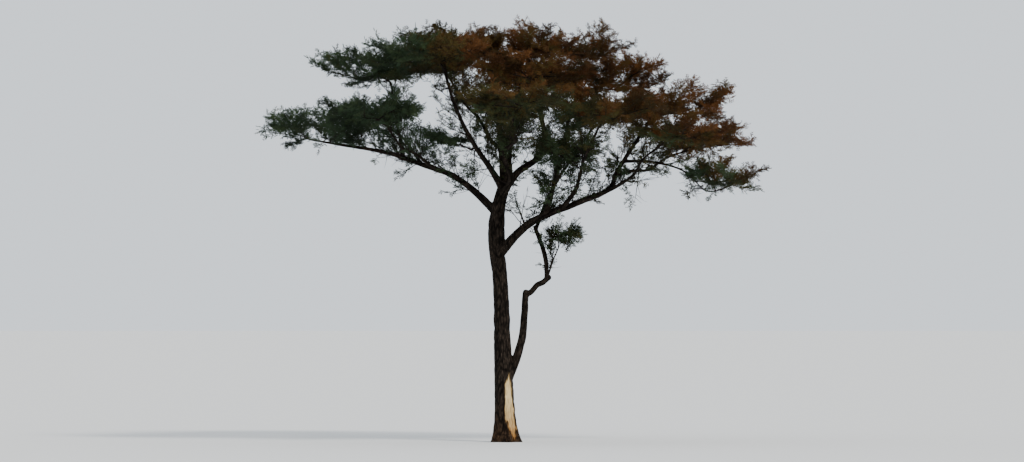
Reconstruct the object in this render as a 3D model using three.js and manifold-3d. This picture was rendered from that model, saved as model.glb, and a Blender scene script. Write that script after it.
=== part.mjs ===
// Umbrella thorn acacia, rooted in level ground, as separate solids: one trunk, its limbs and its masses
// of foliage. Millimetres, +Z up. The origin is the middle of the flat cut under the trunk. X runs across
// the widest view of the crown, and Y away from the viewer.
import * as THREE from "three";
import { mergeVertices } from "three/addons/utils/BufferGeometryUtils.js";
import Module from "manifold-3d";

const wasm = await Module();
wasm.setup();

// Trunk: its height up to where it fans out, its radii, its swelling under the fork and its flare at the
// ground. Its steps grow longer with height, by a power of their number.
const TRUNK_HEIGHT = 5650;
const TRUNK_LOW_RADIUS = 222;
const TRUNK_TOP_RADIUS = 135;
const TRUNK_TAPER_POWER = 1.4;
const TRUNK_SIDES = 20;
const TRUNK_STEPS = 16;
const TRUNK_STEP_POWER = 1.6;
const FORK_HEIGHT = 4450;
const FORK_SPREAD = 520;
const FORK_SWELL = 36;
const FLARE_RADIUS = 85;
const FLARE_HEIGHT = 300;
const FLARE_LOBES = 5;
const FLARE_LOBE_DEPTH = 0.24;
const FLARE_LOBE_TURN = 0.6;
// The lean of the trunk's axis along X at equal steps of height, and how far its middle bows back along Y.
const TRUNK_LEAN = [0, -15, -38, -62, -80, -115, -190, -160, 20];
const TRUNK_BOW = 55;

// Limbs: sides and step length of their sections, how crooked they are, and the collar where each leaves.
const LIMB_SIDES = 6;
const LIMB_STEP = 520;
const LIMB_BENDS = 3;
const LIMB_CROOK = 0.045;
const TAPER_POWER = 0.8;
const COLLAR = 0.3;
const COLLAR_LENGTH = 260;
const CLEARANCE = 0.35;

// Where a limb ends in a mass of foliage, how the mass's stem runs on from there, and how its arms spread,
// mostly as shares of the mass's reach and half height.
const ENTRY_OUT = 0.42;
const ENTRY_DROP = 0.52;
const HUB_PAST = 0.2;
const HUB_DROP = 0.3;
const STEM_BEND = 0.35;
const STEM_SHARE = 0.88;
const STEM_END_RADIUS = 20;
const STEM_SIDES = 5;
const STEM_STEPS = 2;
const ARM_SIDES = 3;
const ARM_STEPS = 2;
const ARM_SPACING = 1750;
const LEAST_ARMS = 3;
const ARM_STRAY = 0.25;
const ARM_FIRST = 0.25;
const ARM_SPREAD = 0.35;
const ARM_OUT = 0.62;
const ARM_RISE = 0.35;
const ARM_EARLY_RISE = 0.7;
const ARM_PULL = 0.1;
const ARM_RADIUS = 15;
const ARM_END_RADIUS = 13;

// Foliage: each leaf solid is a ridged blade, larger than life, that stands for one spray of fine leaves.
// Its widths are shares of its length, and angles are in radians.
const SEED = 41;
const SPRAYS_PER_SQUARE_METRE = 3.95;
const LEAST_SPRAYS = 3;
const SPRAY_FIRST = 0.22;
const SPRAY_LENGTH = 920;
const SPRAY_OF_REACH = 0.68;
const SPRAY_SHRINK = 0.94;
const SPRAY_TRIES = 16;
const SPRAY_WIDTH = 0.58;
const SPRAY_THICKNESS = 0.08;
const SPRAY_WIDEST = 0.42;
const SPRAY_SINK = 4;
const SPRAY_END_SINK = 40;
const SPRAY_YAW = 1.05;
const SPRAY_YAW_STRAY = 0.6;
const SPRAY_PITCH = 0.4;
const SPRAY_PITCH_STRAY = 0.7;
const SPRAY_ROLL_STRAY = 0.7;
const SPRAY_GAP = 6;

// The masses' own spaces and their clearance from limbs.
const SPACE_FLATNESS = 2.4;
const SPACE_GAP = 8;
const TOUCH_GAP = 12;
const TOUCH_STEP = 40;

const BARK = { color: 0x3b322a, roughness: 0.95, metalness: 0 };
const GREEN = { color: 0x3a4722, roughness: 0.8, metalness: 0 };
const OLIVE = { color: 0x57481f, roughness: 0.8, metalness: 0 };

// The masses of foliage. Each keeps to a flattened round space with this centre, reach and half height.
const MASSES = {
  left_low_foliage: { leaf: GREEN, centre: [-3980, -200, 6660], reach: 1390, half: 620 },
  left_front_foliage: { leaf: GREEN, centre: [-2850, -2050, 6980], reach: 1200, half: 470 },
  left_back_foliage: { leaf: GREEN, centre: [-2750, 2050, 7030], reach: 1200, half: 470 },
  left_top_foliage: { leaf: GREEN, centre: [-2980, 150, 7960], reach: 1360, half: 640 },
  front_left_foliage: { leaf: GREEN, centre: [-1650, -2400, 8180], reach: 1550, half: 550 },
  back_left_foliage: { leaf: GREEN, centre: [-1600, 2450, 8200], reach: 1550, half: 550 },
  centre_left_foliage: { leaf: OLIVE, centre: [-950, -50, 8460], reach: 1600, half: 600 },
  centre_foliage: { leaf: OLIVE, centre: [1150, 50, 8480], reach: 1720, half: 680 },
  front_foliage: { leaf: OLIVE, centre: [450, -2350, 7850], reach: 1550, half: 620 },
  back_foliage: { leaf: OLIVE, centre: [500, 2400, 7900], reach: 1550, half: 620 },
  far_front_foliage: { leaf: GREEN, centre: [300, -3650, 7200], reach: 1350, half: 490 },
  far_back_foliage: { leaf: GREEN, centre: [50, 3700, 7280], reach: 1350, half: 490 },
  centre_right_foliage: { leaf: OLIVE, centre: [2150, -100, 7760], reach: 1580, half: 820 },
  front_right_foliage: { leaf: OLIVE, centre: [2200, -2600, 7000], reach: 1500, half: 640 },
  back_right_foliage: { leaf: OLIVE, centre: [2250, 2600, 7100], reach: 1500, half: 640 },
  right_foliage: { leaf: OLIVE, centre: [3700, 100, 7240], reach: 1500, half: 760 },
  right_front_foliage: { leaf: OLIVE, centre: [3600, -1900, 6600], reach: 1250, half: 580 },
  right_back_foliage: { leaf: OLIVE, centre: [4320, 1600, 6560], reach: 1270, half: 580 },
  right_tip_foliage: { leaf: GREEN, centre: [4660, -450, 5660], reach: 1100, half: 480 },
  middle_foliage: { leaf: OLIVE, centre: [1200, -800, 6220], reach: 980, half: 460 },
  tuft_foliage: { leaf: GREEN, centre: [-1150, -650, 6500], reach: 850, half: 420 },
  sprig_foliage: { leaf: GREEN, centre: [1330, 60, 4380], reach: 380, half: 280 },
};

// The limbs, each after the one that carries it. "at" is the share of the carrier's length where it leaves,
// "to" the mass that it ends in or its last point, "root" and "tip" its radii there, "via" its bends on the
// way, and "rise" how far its middle is lifted where it has none.
const LIMBS = {
  left_bough: { on: "trunk", at: 0.865, to: "left_low_foliage", rise: 380, root: 84, tip: 34 },
  left_riser: { on: "left_bough", at: 0.655, to: "left_top_foliage", rise: 0, root: 42, tip: 24 },
  left_front_bough: { on: "left_bough", at: 0.37, to: "left_front_foliage", rise: -190, root: 44, tip: 24 },
  left_back_bough: { on: "left_bough", at: 0.48, to: "left_back_foliage", rise: -80, root: 42, tip: 24 },
  middle_leader: { on: "trunk", at: 0.99, to: "centre_left_foliage", rise: -60, root: 100, tip: 31 },
  left_leader: { on: "trunk", at: 0.955, to: "front_left_foliage", rise: -280, root: 74, tip: 28 },
  tuft_twig: { on: "left_leader", at: 0.4, to: "tuft_foliage", rise: -40, root: 26, tip: 15 },
  back_left_bough: { on: "middle_leader", at: 0.28, to: "back_left_foliage", rise: -180, root: 48, tip: 26 },
  right_leader: {
    on: "trunk", at: 0.95, to: "centre_foliage", root: 84, tip: 31,
    via: [[250, 20, 5760], [840, -30, 6380]],
  },
  front_leader: { on: "trunk", at: 0.92, to: "front_foliage", rise: -230, root: 74, tip: 28 },
  far_front_bough: { on: "front_leader", at: 0.5, to: "far_front_foliage", rise: -140, root: 42, tip: 24 },
  back_leader: { on: "trunk", at: 0.935, to: "back_foliage", rise: -230, root: 74, tip: 28 },
  far_back_bough: { on: "back_leader", at: 0.5, to: "far_back_foliage", rise: -140, root: 42, tip: 24 },
  right_bough: {
    on: "trunk", at: 0.705, to: "right_foliage", root: 100, tip: 34,
    via: [[520, -40, 4680], [1390, -60, 5060], [2200, 0, 5400], [2420, 40, 5830]],
  },
  right_riser: { on: "right_bough", at: 0.3, to: "centre_right_foliage", rise: -60, root: 56, tip: 28 },
  middle_twig: { on: "right_riser", at: 0.3, to: "middle_foliage", rise: 0, root: 26, tip: 15 },
  front_right_bough: { on: "right_bough", at: 0.38, to: "front_right_foliage", rise: -90, root: 50, tip: 26 },
  right_front_bough: { on: "right_bough", at: 0.6, to: "right_front_foliage", rise: -60, root: 42, tip: 24 },
  right_back_bough: { on: "right_bough", at: 0.7, to: "right_back_foliage", rise: -60, root: 40, tip: 24 },
  right_low_bough: {
    on: "right_bough", at: 0.78, to: "right_tip_foliage", root: 34, tip: 18,
    via: [[3160, -100, 5990], [3800, -260, 5800]],
  },
  cross_twig: { on: "right_bough", at: 0.19, to: [200, -80, 5300], rise: -40, root: 20, tip: 8 },
  second_stem_lower: {
    on: "trunk", at: 0.2, to: [440, 60, 3200], root: 104, tip: 68,
    via: [[340, 50, 2150]],
  },
  second_stem_elbow: { on: "second_stem_lower", at: 1, to: [930, 90, 3520], rise: 0, root: 60, tip: 60 },
  second_stem_upper: {
    on: "second_stem_elbow", at: 1, to: [640, 330, 4600], root: 54, tip: 46,
    via: [[850, 170, 4000]],
  },
  second_stem_top: {
    on: "second_stem_upper", at: 1, to: "back_right_foliage", root: 43, tip: 27,
    via: [[1050, 900, 5500]],
  },
  sprig_twig: { on: "second_stem_elbow", at: 0.85, to: "sprig_foliage", rise: 0, root: 20, tip: 11 },
};

const point = (xyz) => new THREE.Vector3(...xyz);

// A repeatable number from 0 to 1 for draw c of item b in group a.
function chance(a, b, c) {
  let h = Math.imul(a + 1, 0x9e3779b1) ^ Math.imul(b + 1, 0x85ebca77) ^ Math.imul(c + SEED, 0xc2b2ae3d);
  h = Math.imul(h ^ (h >>> 15), 0x2c1b3c6d);
  h = Math.imul(h ^ (h >>> 12), 0x297a2d39);
  return ((h ^ (h >>> 15)) >>> 0) / 2 ** 32;
}

// The same as a number from -1 to 1.
const either = (a, b, c) => 2 * chance(a, b, c) - 1;

// A closed geometry as a solid for joining and cutting.
function solidOf(geometry) {
  geometry.deleteAttribute("normal");
  geometry.deleteAttribute("uv");
  const merged = mergeVertices(geometry, 1e-3);
  const vertProperties = merged.attributes.position.array;
  const triVerts = new Uint32Array(merged.index.array);
  return new wasm.Manifold(new wasm.Mesh({ numProp: 3, vertProperties, triVerts }));
}

// The largest body of a solid, without loose scraps and sealed hollows.
function largestBody(solid) {
  return solid.decompose().reduce((a, b) => (b.volume() > a.volume() ? b : a));
}

// A solid as a named mesh that stands at its own root, in a material of its own.
function meshOf(solid, name, look, root) {
  const { numProp, numVert, vertProperties, triVerts } = solid.getMesh();
  const at = new Float32Array(numVert * 3);
  for (let i = 0; i < numVert; i++) {
    at.set(vertProperties.subarray(i * numProp, i * numProp + 3), i * 3);
  }
  const geometry = new THREE.BufferGeometry()
    .setAttribute("position", new THREE.BufferAttribute(at, 3))
    .setIndex(new THREE.BufferAttribute(triVerts, 1))
    .translate(-root.x, -root.y, -root.z);
  geometry.computeVertexNormals();
  const mesh = new THREE.Mesh(geometry, new THREE.MeshStandardMaterial(look));
  mesh.name = name;
  mesh.position.copy(root);
  return mesh;
}

// The trunk's axis.
function trunkAxis() {
  const steps = TRUNK_LEAN.length - 1;
  const points = TRUNK_LEAN.map((lean, i) => {
    const bow = TRUNK_BOW * Math.sin((Math.PI * i) / steps);
    return new THREE.Vector3(lean, bow, (TRUNK_HEIGHT * i) / steps);
  });
  return new THREE.CatmullRomCurve3(points, false, "catmullrom");
}

// The trunk's radius at a height, and how the lobes of its flare change that round it.
function trunkRadius(height) {
  const taper = (TRUNK_LOW_RADIUS - TRUNK_TOP_RADIUS) * (1 - height / TRUNK_HEIGHT) ** TRUNK_TAPER_POWER;
  const swell = FORK_SWELL * Math.exp(-(((height - FORK_HEIGHT) / FORK_SPREAD) ** 2));
  return TRUNK_TOP_RADIUS + taper + swell + FLARE_RADIUS * Math.exp(-height / FLARE_HEIGHT);
}

function flareLobes(height, angle) {
  const depth = FLARE_LOBE_DEPTH * Math.exp(-height / FLARE_HEIGHT);
  return 1 + depth * Math.cos(FLARE_LOBES * angle + FLARE_LOBE_TURN);
}

// The trunk as level sections, closer together in the flare, grown outwards by a margin.
function trunkSolid(trunk, margin) {
  const tube = new THREE.CylinderGeometry(1, 1, 1, TRUNK_SIDES, TRUNK_STEPS);
  tube.rotateX(Math.PI / 2);
  const at = tube.attributes.position;
  for (let i = 0; i < at.count; i++) {
    const share = THREE.MathUtils.clamp(at.getZ(i) + 0.5, 0, 1) ** TRUNK_STEP_POWER;
    const centre = trunk.axis.getPoint(share);
    const angle = Math.atan2(at.getY(i), at.getX(i));
    const radius = trunkRadius(centre.z) * flareLobes(centre.z, angle) + margin;
    const across = Math.hypot(at.getX(i), at.getY(i)) * radius;
    const past = share === 1 ? margin : 0;
    centre.add(new THREE.Vector3(across * Math.cos(angle), across * Math.sin(angle), past));
    at.setXYZ(i, centre.x, centre.y, centre.z);
  }
  return solidOf(tube);
}

// Where a limb that comes from a point ends in a mass: low in it, on the side that the limb comes from.
function entryOf(mass, from) {
  const centre = point(mass.centre);
  const back = from.clone().sub(centre).setZ(0).normalize();
  centre.z -= ENTRY_DROP * mass.half;
  return centre.addScaledVector(back, ENTRY_OUT * mass.reach);
}

// The bends of a limb that has none of its own: its middle is lifted, and it is a little crooked.
function crookedBends(row, index, start, end) {
  const way = end.clone().sub(start);
  const side = new THREE.Vector3(-way.y, way.x, 0).normalize();
  const crook = LIMB_CROOK * way.length();
  return Array.from({ length: LIMB_BENDS }, (_, i) => {
    const share = (i + 1) / (LIMB_BENDS + 1);
    const bend = start.clone().addScaledVector(way, share);
    bend.addScaledVector(side, crook * either(index, i, 0));
    bend.z += row.rise * Math.sin(Math.PI * share) + crook * either(index, i, 1);
    return bend;
  });
}

// A limb: its axis from the carrier's axis to its end, and its radius at a share of its length. One that
// grows on from its carrier's tip starts a little inside it and has no collar.
function limbOf(row, index, carrier) {
  const growsOn = row.at === 1;
  const start = carrier.axis.getPointAt(row.at);
  if (growsOn) {
    start.addScaledVector(carrier.axis.getTangentAt(1), -row.root);
  }
  const bends = row.via ? row.via.map(point) : [];
  const end = Array.isArray(row.to) ? point(row.to) : entryOf(MASSES[row.to], bends.at(-1) ?? start);
  if (!row.via) {
    bends.push(...crookedBends(row, index, start, end));
  }
  const axis = new THREE.CatmullRomCurve3([start, ...bends, end], false, "catmullrom");
  const length = axis.getLength();
  const radiusAt = (share) => {
    const collar = growsOn ? 0 : COLLAR * row.root * Math.exp((-share * length) / COLLAR_LENGTH);
    return THREE.MathUtils.lerp(row.root, row.tip, share ** TAPER_POWER) + collar;
  };
  return { ...row, axis, length, radiusAt };
}

// A curve as sections square to it, of a radius that changes along it, grown past both ends by a margin.
function tubeSolid(curve, sides, steps, radiusAt, margin = 0) {
  const { normals, binormals, tangents } = curve.computeFrenetFrames(steps);
  const tube = new THREE.CylinderGeometry(1, 1, 1, sides, steps);
  const at = tube.attributes.position;
  for (let i = 0; i < at.count; i++) {
    const step = Math.round((at.getY(i) + 0.5) * steps);
    const across = radiusAt(step / steps) + margin;
    const past = margin * (step === 0 ? -1 : step === steps ? 1 : 0);
    const place = curve.getPointAt(step / steps).addScaledVector(tangents[step], past);
    place.addScaledVector(normals[step], across * at.getZ(i));
    place.addScaledVector(binormals[step], across * at.getX(i));
    at.setXYZ(i, place.x, place.y, place.z);
  }
  return solidOf(tube);
}

function limbSolid(limb, margin) {
  const steps = Math.max(2, Math.round(limb.length / LIMB_STEP));
  return tubeSolid(limb.axis, LIMB_SIDES, steps, limb.radiusAt, margin);
}

// A place on a tube's straight stretches, at a share of its length.
function onTube(curve, steps, share) {
  const step = Math.min(Math.floor(share * steps), steps - 1);
  const next = curve.getPointAt((step + 1) / steps);
  return curve.getPointAt(step / steps).lerp(next, share * steps - step);
}

// Places along a curve, a short step apart, that arms and sprays stay clear of.
function placesAlong(curve, radiusAt) {
  const steps = Math.ceil(curve.getLength() / TOUCH_STEP);
  return Array.from({ length: steps + 1 }, (_, i) => {
    return { at: curve.getPointAt(i / steps), radius: radiusAt(i / steps) };
  });
}

// The wall between two masses' spaces, as a plane that faces the first. It lies where a point is as near to
// one as to the other, with each one's reach allowed for and heights stretched.
function wallBetween(mass, other) {
  const stretch = new THREE.Vector3(1, 1, SPACE_FLATNESS);
  const near = point(mass.centre).multiply(stretch);
  const far = point(other.centre).multiply(stretch);
  const offset = (far.lengthSq() - near.lengthSq() + mass.reach ** 2 - other.reach ** 2) / 2;
  return new THREE.Plane(near.clone().sub(far).multiply(stretch), offset).normalize();
}

// A mass's own space: its flattened round as far as the walls to the other masses, and the limbs near it.
function spaceOf(name, limbPlaces) {
  const mass = MASSES[name];
  const centre = point(mass.centre);
  const others = Object.keys(MASSES).filter((other) => other !== name);
  const walls = others.map((other) => wallBetween(mass, MASSES[other]));
  const near = limbPlaces.filter((place) => place.at.distanceTo(centre) < mass.reach + SPRAY_LENGTH);
  return { ...mass, centre, walls, near };
}

function inSpace(space, at) {
  const off = at.clone().sub(space.centre);
  const round = Math.hypot(off.x / space.reach, off.y / space.reach, off.z / space.half);
  return round < 1 && space.walls.every((wall) => wall.distanceToPoint(at) > SPACE_GAP);
}

// Whether a straight arm stays clear of some places.
function armClear(from, to, places) {
  const line = new THREE.Line3(from, to);
  const nearest = new THREE.Vector3();
  return places.every(({ at, radius }) => {
    return line.closestPointToPoint(at, true, nearest).distanceTo(at) > radius + ARM_RADIUS + TOUCH_GAP;
  });
}

// Whether a blade stays clear of some places: each lies above or below it, or past its outline.
function bladeClear({ root, along, side, up, length }, places) {
  const widest = SPRAY_WIDEST * length;
  return places.every(({ at, radius }) => {
    const off = at.clone().sub(root);
    const gap = radius + TOUCH_GAP;
    const out = off.dot(along);
    const narrowing = Math.min(out / widest, (length - out) / (length - widest));
    const outline = (Math.max(narrowing, 0) * SPRAY_WIDTH * length) / 2;
    const past = out < -gap || out > length + gap;
    const beside = Math.abs(off.dot(side)) > outline + gap;
    return past || beside || Math.abs(off.dot(up)) > SPRAY_THICKNESS * length + gap;
  });
}

// A mass's stem: it leaves its bough's tip along the bough, and bends to a hub past the middle of the space.
function stemOf(space, bough) {
  const tip = bough.axis.getPointAt(1);
  const onwards = bough.axis.getTangentAt(1);
  const past = space.centre.clone().sub(tip).setZ(0).normalize();
  const hub = space.centre.clone().addScaledVector(past, HUB_PAST * space.reach);
  hub.z -= HUB_DROP * space.half;
  const bend = tip.clone().addScaledVector(onwards, STEM_BEND * hub.distanceTo(tip));
  return new THREE.QuadraticBezierCurve3(tip.addScaledVector(onwards, -bough.tip), bend, hub);
}

// The arms that a stem divides into, spread all round it. Those that point onwards leave it last.
function armsOf(space, stem, group) {
  const along = stem.getPoint(1).sub(stem.getPoint(0));
  const ahead = Math.atan2(along.y, along.x);
  const count = Math.max(LEAST_ARMS, Math.round((2 * Math.PI * space.reach) / ARM_SPACING));
  const arms = [];
  for (let k = 0; k < count; k++) {
    const angle = ahead + (2 * Math.PI * (k + 0.5 + ARM_STRAY * either(group, k, 0))) / count;
    const root = onTube(stem, STEM_STEPS, ARM_FIRST + ARM_SPREAD * (1 + Math.cos(angle - ahead)));
    const outwards = new THREE.Vector3(Math.cos(angle), Math.sin(angle), 0);
    const end = space.centre.clone().addScaledVector(outwards, ARM_OUT * space.reach);
    end.z += ARM_RISE * space.half * either(group, k, 1);
    while (!inSpace(space, end)) {
      end.lerp(root, ARM_PULL);
    }
    const bend = root.clone().lerp(end, 0.5);
    bend.z = THREE.MathUtils.lerp(root.z, end.z, ARM_EARLY_RISE);
    if (armClear(root, bend, space.near) && armClear(bend, end, space.near)) {
      arms.push(new THREE.QuadraticBezierCurve3(root, bend, end));
    }
  }
  return arms;
}

// The sprays of an arm: one goes on from its end, and the others stand off its left and right side by turns.
function spraysOf(space, arm, armIndex, count, group, places, others) {
  const sprays = [];
  for (let j = 0; j < count; j++) {
    const last = j === count - 1;
    const share = last ? 1 : SPRAY_FIRST + ((1 - SPRAY_FIRST) * j) / (count - 1);
    const ahead = arm.getTangentAt(share);
    const turn = last ? 0 : j % 2 ? SPRAY_YAW : -SPRAY_YAW;
    const start = {
      at: onTube(arm, ARM_STEPS, share),
      yaw: Math.atan2(ahead.y, ahead.x) + turn,
      sink: last ? SPRAY_END_SINK : SPRAY_SINK,
    };
    const item = (armIndex * count + j) * SPRAY_TRIES;
    const spray = sprayThatFits(space, start, group, item, places, [...others, ...sprays]);
    if (spray) {
      sprays.push(spray);
    }
  }
  return sprays;
}

// A spray from a place on an arm. One that would leave the space, touch a limb or touch another spray is
// tried again in another direction and a little shorter, and left out if that doesn't help.
function sprayThatFits(space, start, group, item, places, others) {
  const longest = Math.min(SPRAY_LENGTH, SPRAY_OF_REACH * space.reach);
  for (let tries = 0; tries < SPRAY_TRIES; tries++) {
    const draw = (which) => either(group, item + tries, which);
    const yaw = start.yaw + SPRAY_YAW_STRAY * draw(2);
    const pitch = SPRAY_PITCH + SPRAY_PITCH_STRAY * draw(3);
    const along = new THREE.Vector3(Math.cos(yaw), Math.sin(yaw), Math.tan(pitch)).normalize();
    const side = new THREE.Vector3(Math.sin(yaw), -Math.cos(yaw), 0);
    side.applyAxisAngle(along, SPRAY_ROLL_STRAY * draw(4));
    const root = start.at.clone().addScaledVector(along, -start.sink);
    const up = side.clone().cross(along);
    const spray = { root, along, side, up, length: longest * SPRAY_SHRINK ** tries };
    spray.corners = bladeCorners(spray);
    const within = spray.corners.every((corner) => inSpace(space, corner));
    const free = others.every((other) => apart(spray.corners, other.corners));
    if (within && free && bladeClear(spray, places)) {
      return spray;
    }
  }
  return null;
}

// The corners of a blade: its root, its left and right edge and ridge at its widest place, and its tip.
function bladeCorners({ root, along, side, up, length }) {
  const corner = (out, across, above) =>
    root.clone().addScaledVector(along, out).addScaledVector(side, across).addScaledVector(up, above);
  const wide = (length * SPRAY_WIDTH) / 2;
  const thick = length * SPRAY_THICKNESS;
  const widest = length * SPRAY_WIDEST;
  return [
    corner(0, 0, 0),
    corner(widest, -wide, -thick / 3),
    corner(widest, wide, -thick / 3),
    corner(widest, 0, (2 * thick) / 3),
    corner(length, 0, 0),
  ];
}

const BLADE_FACES = [
  [0, 1, 2],
  [0, 2, 3],
  [0, 3, 1],
  [4, 2, 1],
  [4, 3, 2],
  [4, 1, 3],
];

// Whether two blades are apart: one of their faces' planes has them on its two sides, with a gap between.
function apart(a, b) {
  const plane = new THREE.Plane();
  return [[a, b], [b, a]].some(([own, other]) =>
    BLADE_FACES.some((face) => {
      plane.setFromCoplanarPoints(...face.map((corner) => own[corner]));
      return other.every((corner) => plane.distanceToPoint(corner) > SPRAY_GAP);
    }),
  );
}

function bladeSolid(corners) {
  const geometry = new THREE.BufferGeometry().setFromPoints(corners);
  geometry.setIndex(BLADE_FACES.flat());
  return solidOf(geometry);
}

// A whole mass of foliage as one solid, cut clear of the limbs.
function foliageSolid(space, bough, group, taken) {
  const stem = stemOf(space, bough);
  const arms = armsOf(space, stem, group);
  const stemRadius = (share) => THREE.MathUtils.lerp(STEM_SHARE * bough.tip, STEM_END_RADIUS, share);
  const armRadius = (share) => THREE.MathUtils.lerp(ARM_RADIUS, ARM_END_RADIUS, share);
  const pieces = [tubeSolid(stem, STEM_SIDES, STEM_STEPS, stemRadius)];
  pieces.push(...arms.map((arm) => tubeSolid(arm, ARM_SIDES, ARM_STEPS, armRadius)));
  const wanted = Math.PI * (space.reach / 1000) ** 2 * SPRAYS_PER_SQUARE_METRE;
  const perArm = Math.max(LEAST_SPRAYS, Math.round(wanted / arms.length));
  const sprays = [];
  for (const [k, arm] of arms.entries()) {
    const others = [stem, ...arms.filter((other) => other !== arm)];
    const places = [...space.near, ...others.flatMap((curve) => placesAlong(curve, () => ARM_RADIUS))];
    sprays.push(...spraysOf(space, arm, k, perArm, group, places, sprays));
  }
  pieces.push(...sprays.map((spray) => bladeSolid(spray.corners)));
  return largestBody(wasm.Manifold.union(pieces).subtract(taken));
}

// The tree, from the trunk to the foliage.
const tree = new THREE.Group();
const trunk = { axis: trunkAxis() };
const limbs = new Map([["trunk", trunk]]);
tree.add(meshOf(trunkSolid(trunk, 0), "trunk", BARK, new THREE.Vector3()));

let taken = trunkSolid(trunk, CLEARANCE);
for (const [index, [name, row]] of Object.entries(LIMBS).entries()) {
  const limb = limbOf(row, index, limbs.get(row.on));
  limbs.set(name, limb);
  const solid = largestBody(limbSolid(limb, 0).subtract(taken));
  tree.add(meshOf(solid, name, BARK, limb.axis.getPoint(0)));
  taken = taken.add(limbSolid(limb, CLEARANCE));
}

const grown = Object.keys(LIMBS).map((name) => limbs.get(name));
const boughs = grown.filter((limb) => limb.to in MASSES);
const limbPlaces = grown.flatMap((limb) => placesAlong(limb.axis, limb.radiusAt));
for (const [group, bough] of boughs.entries()) {
  const space = spaceOf(bough.to, limbPlaces);
  const solid = foliageSolid(space, bough, group, taken);
  tree.add(meshOf(solid, bough.to, space.leaf, bough.axis.getPointAt(1)));
}

export default tree;
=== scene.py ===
"""An umbrella thorn acacia, rooted in level ground: fissured bark, fine twigs and slim feathery leaves.

Metres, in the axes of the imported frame. The limbs, the stems, arms and sprays of each mass of foliage
repeat the rule of the part's source, and finer twigs and leaves then grow on from them.
"""

import math

import bmesh
import bpy
import numpy as np
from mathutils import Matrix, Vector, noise


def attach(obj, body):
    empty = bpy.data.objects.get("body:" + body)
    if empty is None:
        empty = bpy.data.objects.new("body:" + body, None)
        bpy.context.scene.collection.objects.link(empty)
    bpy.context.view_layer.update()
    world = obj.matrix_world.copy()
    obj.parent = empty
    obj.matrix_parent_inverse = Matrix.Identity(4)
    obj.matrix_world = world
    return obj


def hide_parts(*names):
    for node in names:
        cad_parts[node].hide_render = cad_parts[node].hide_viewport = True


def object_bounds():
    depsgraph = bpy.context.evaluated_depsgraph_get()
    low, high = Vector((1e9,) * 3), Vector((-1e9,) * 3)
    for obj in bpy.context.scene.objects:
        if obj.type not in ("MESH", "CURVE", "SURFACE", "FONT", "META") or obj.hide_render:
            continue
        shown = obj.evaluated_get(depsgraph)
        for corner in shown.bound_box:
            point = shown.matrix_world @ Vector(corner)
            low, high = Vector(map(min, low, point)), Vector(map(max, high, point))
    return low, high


# The photograph's frame in pixels, and its view: the eye's distance and height, and the height that the
# picture takes in at the tree.
FRAME_WIDE, FRAME_HIGH = 1024, 462
VIEW_DISTANCE = 120.0
VIEW_HEIGHT = 2.7
VIEW_SPAN = 9.9
SENSOR = 36.0

# Trunk
TRUNK_HEIGHT = 5.65
TRUNK_LOW_RADIUS = 0.222
TRUNK_TOP_RADIUS = 0.135
TRUNK_TAPER_POWER = 1.4
FORK_HEIGHT = 4.45
FORK_SPREAD = 0.52
FORK_SWELL = 0.036
FLARE_RADIUS = 0.085
FLARE_HEIGHT = 0.3
FLARE_LOBES = 5
FLARE_LOBE_DEPTH = 0.24
FLARE_LOBE_TURN = 0.6
TRUNK_LEAN = (0, -0.015, -0.038, -0.062, -0.08, -0.115, -0.19, -0.16, 0.02)
TRUNK_BOW = 0.055
TRUNK_ROUNDING = 0.03
TRUNK_END = 0.02

# Limbs, and how they end in the masses of foliage
LIMB_BENDS = 3
LIMB_CROOK = 0.045
TAPER_POWER = 0.8
COLLAR = 0.3
COLLAR_LENGTH = 0.26
ENTRY_OUT = 0.42
ENTRY_DROP = 0.52

# Stems and arms of the masses
HUB_PAST = 0.2
HUB_DROP = 0.3
STEM_BEND = 0.35
STEM_END_RADIUS = 0.012
STEM_STEPS = 2
STEM_POINTS = 9
ARM_STEPS = 2
ARM_POINTS = 7
ARM_SPACING = 1.75
LEAST_ARMS = 3
ARM_STRAY = 0.25
ARM_FIRST = 0.25
ARM_SPREAD = 0.35
ARM_OUT = 0.62
ARM_RISE = 0.35
ARM_EARLY_RISE = 0.7
ARM_PULL = 0.1
ARM_RADIUS = 0.015
ARM_END_RADIUS = 0.007

# Sprays
SEED = 41
SPRAYS_PER_SQUARE_METRE = 3.95
LEAST_SPRAYS = 3
SPRAY_FIRST = 0.22
SPRAY_LENGTH = 0.92
SPRAY_OF_REACH = 0.68
SPRAY_SHRINK = 0.94
SPRAY_TRIES = 16
SPRAY_WIDTH = 0.58
SPRAY_THICKNESS = 0.08
SPRAY_WIDEST = 0.42
SPRAY_SINK = 0.004
SPRAY_END_SINK = 0.04
SPRAY_YAW = 1.05
SPRAY_YAW_STRAY = 0.6
SPRAY_PITCH = 0.4
SPRAY_PITCH_STRAY = 0.7
SPRAY_ROLL_STRAY = 0.7
SPRAY_GAP = 0.006

# The masses' own spaces
SPACE_FLATNESS = 2.4
SPACE_GAP = 0.008
TOUCH_GAP = 0.012
TOUCH_STEP = 0.04

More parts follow.
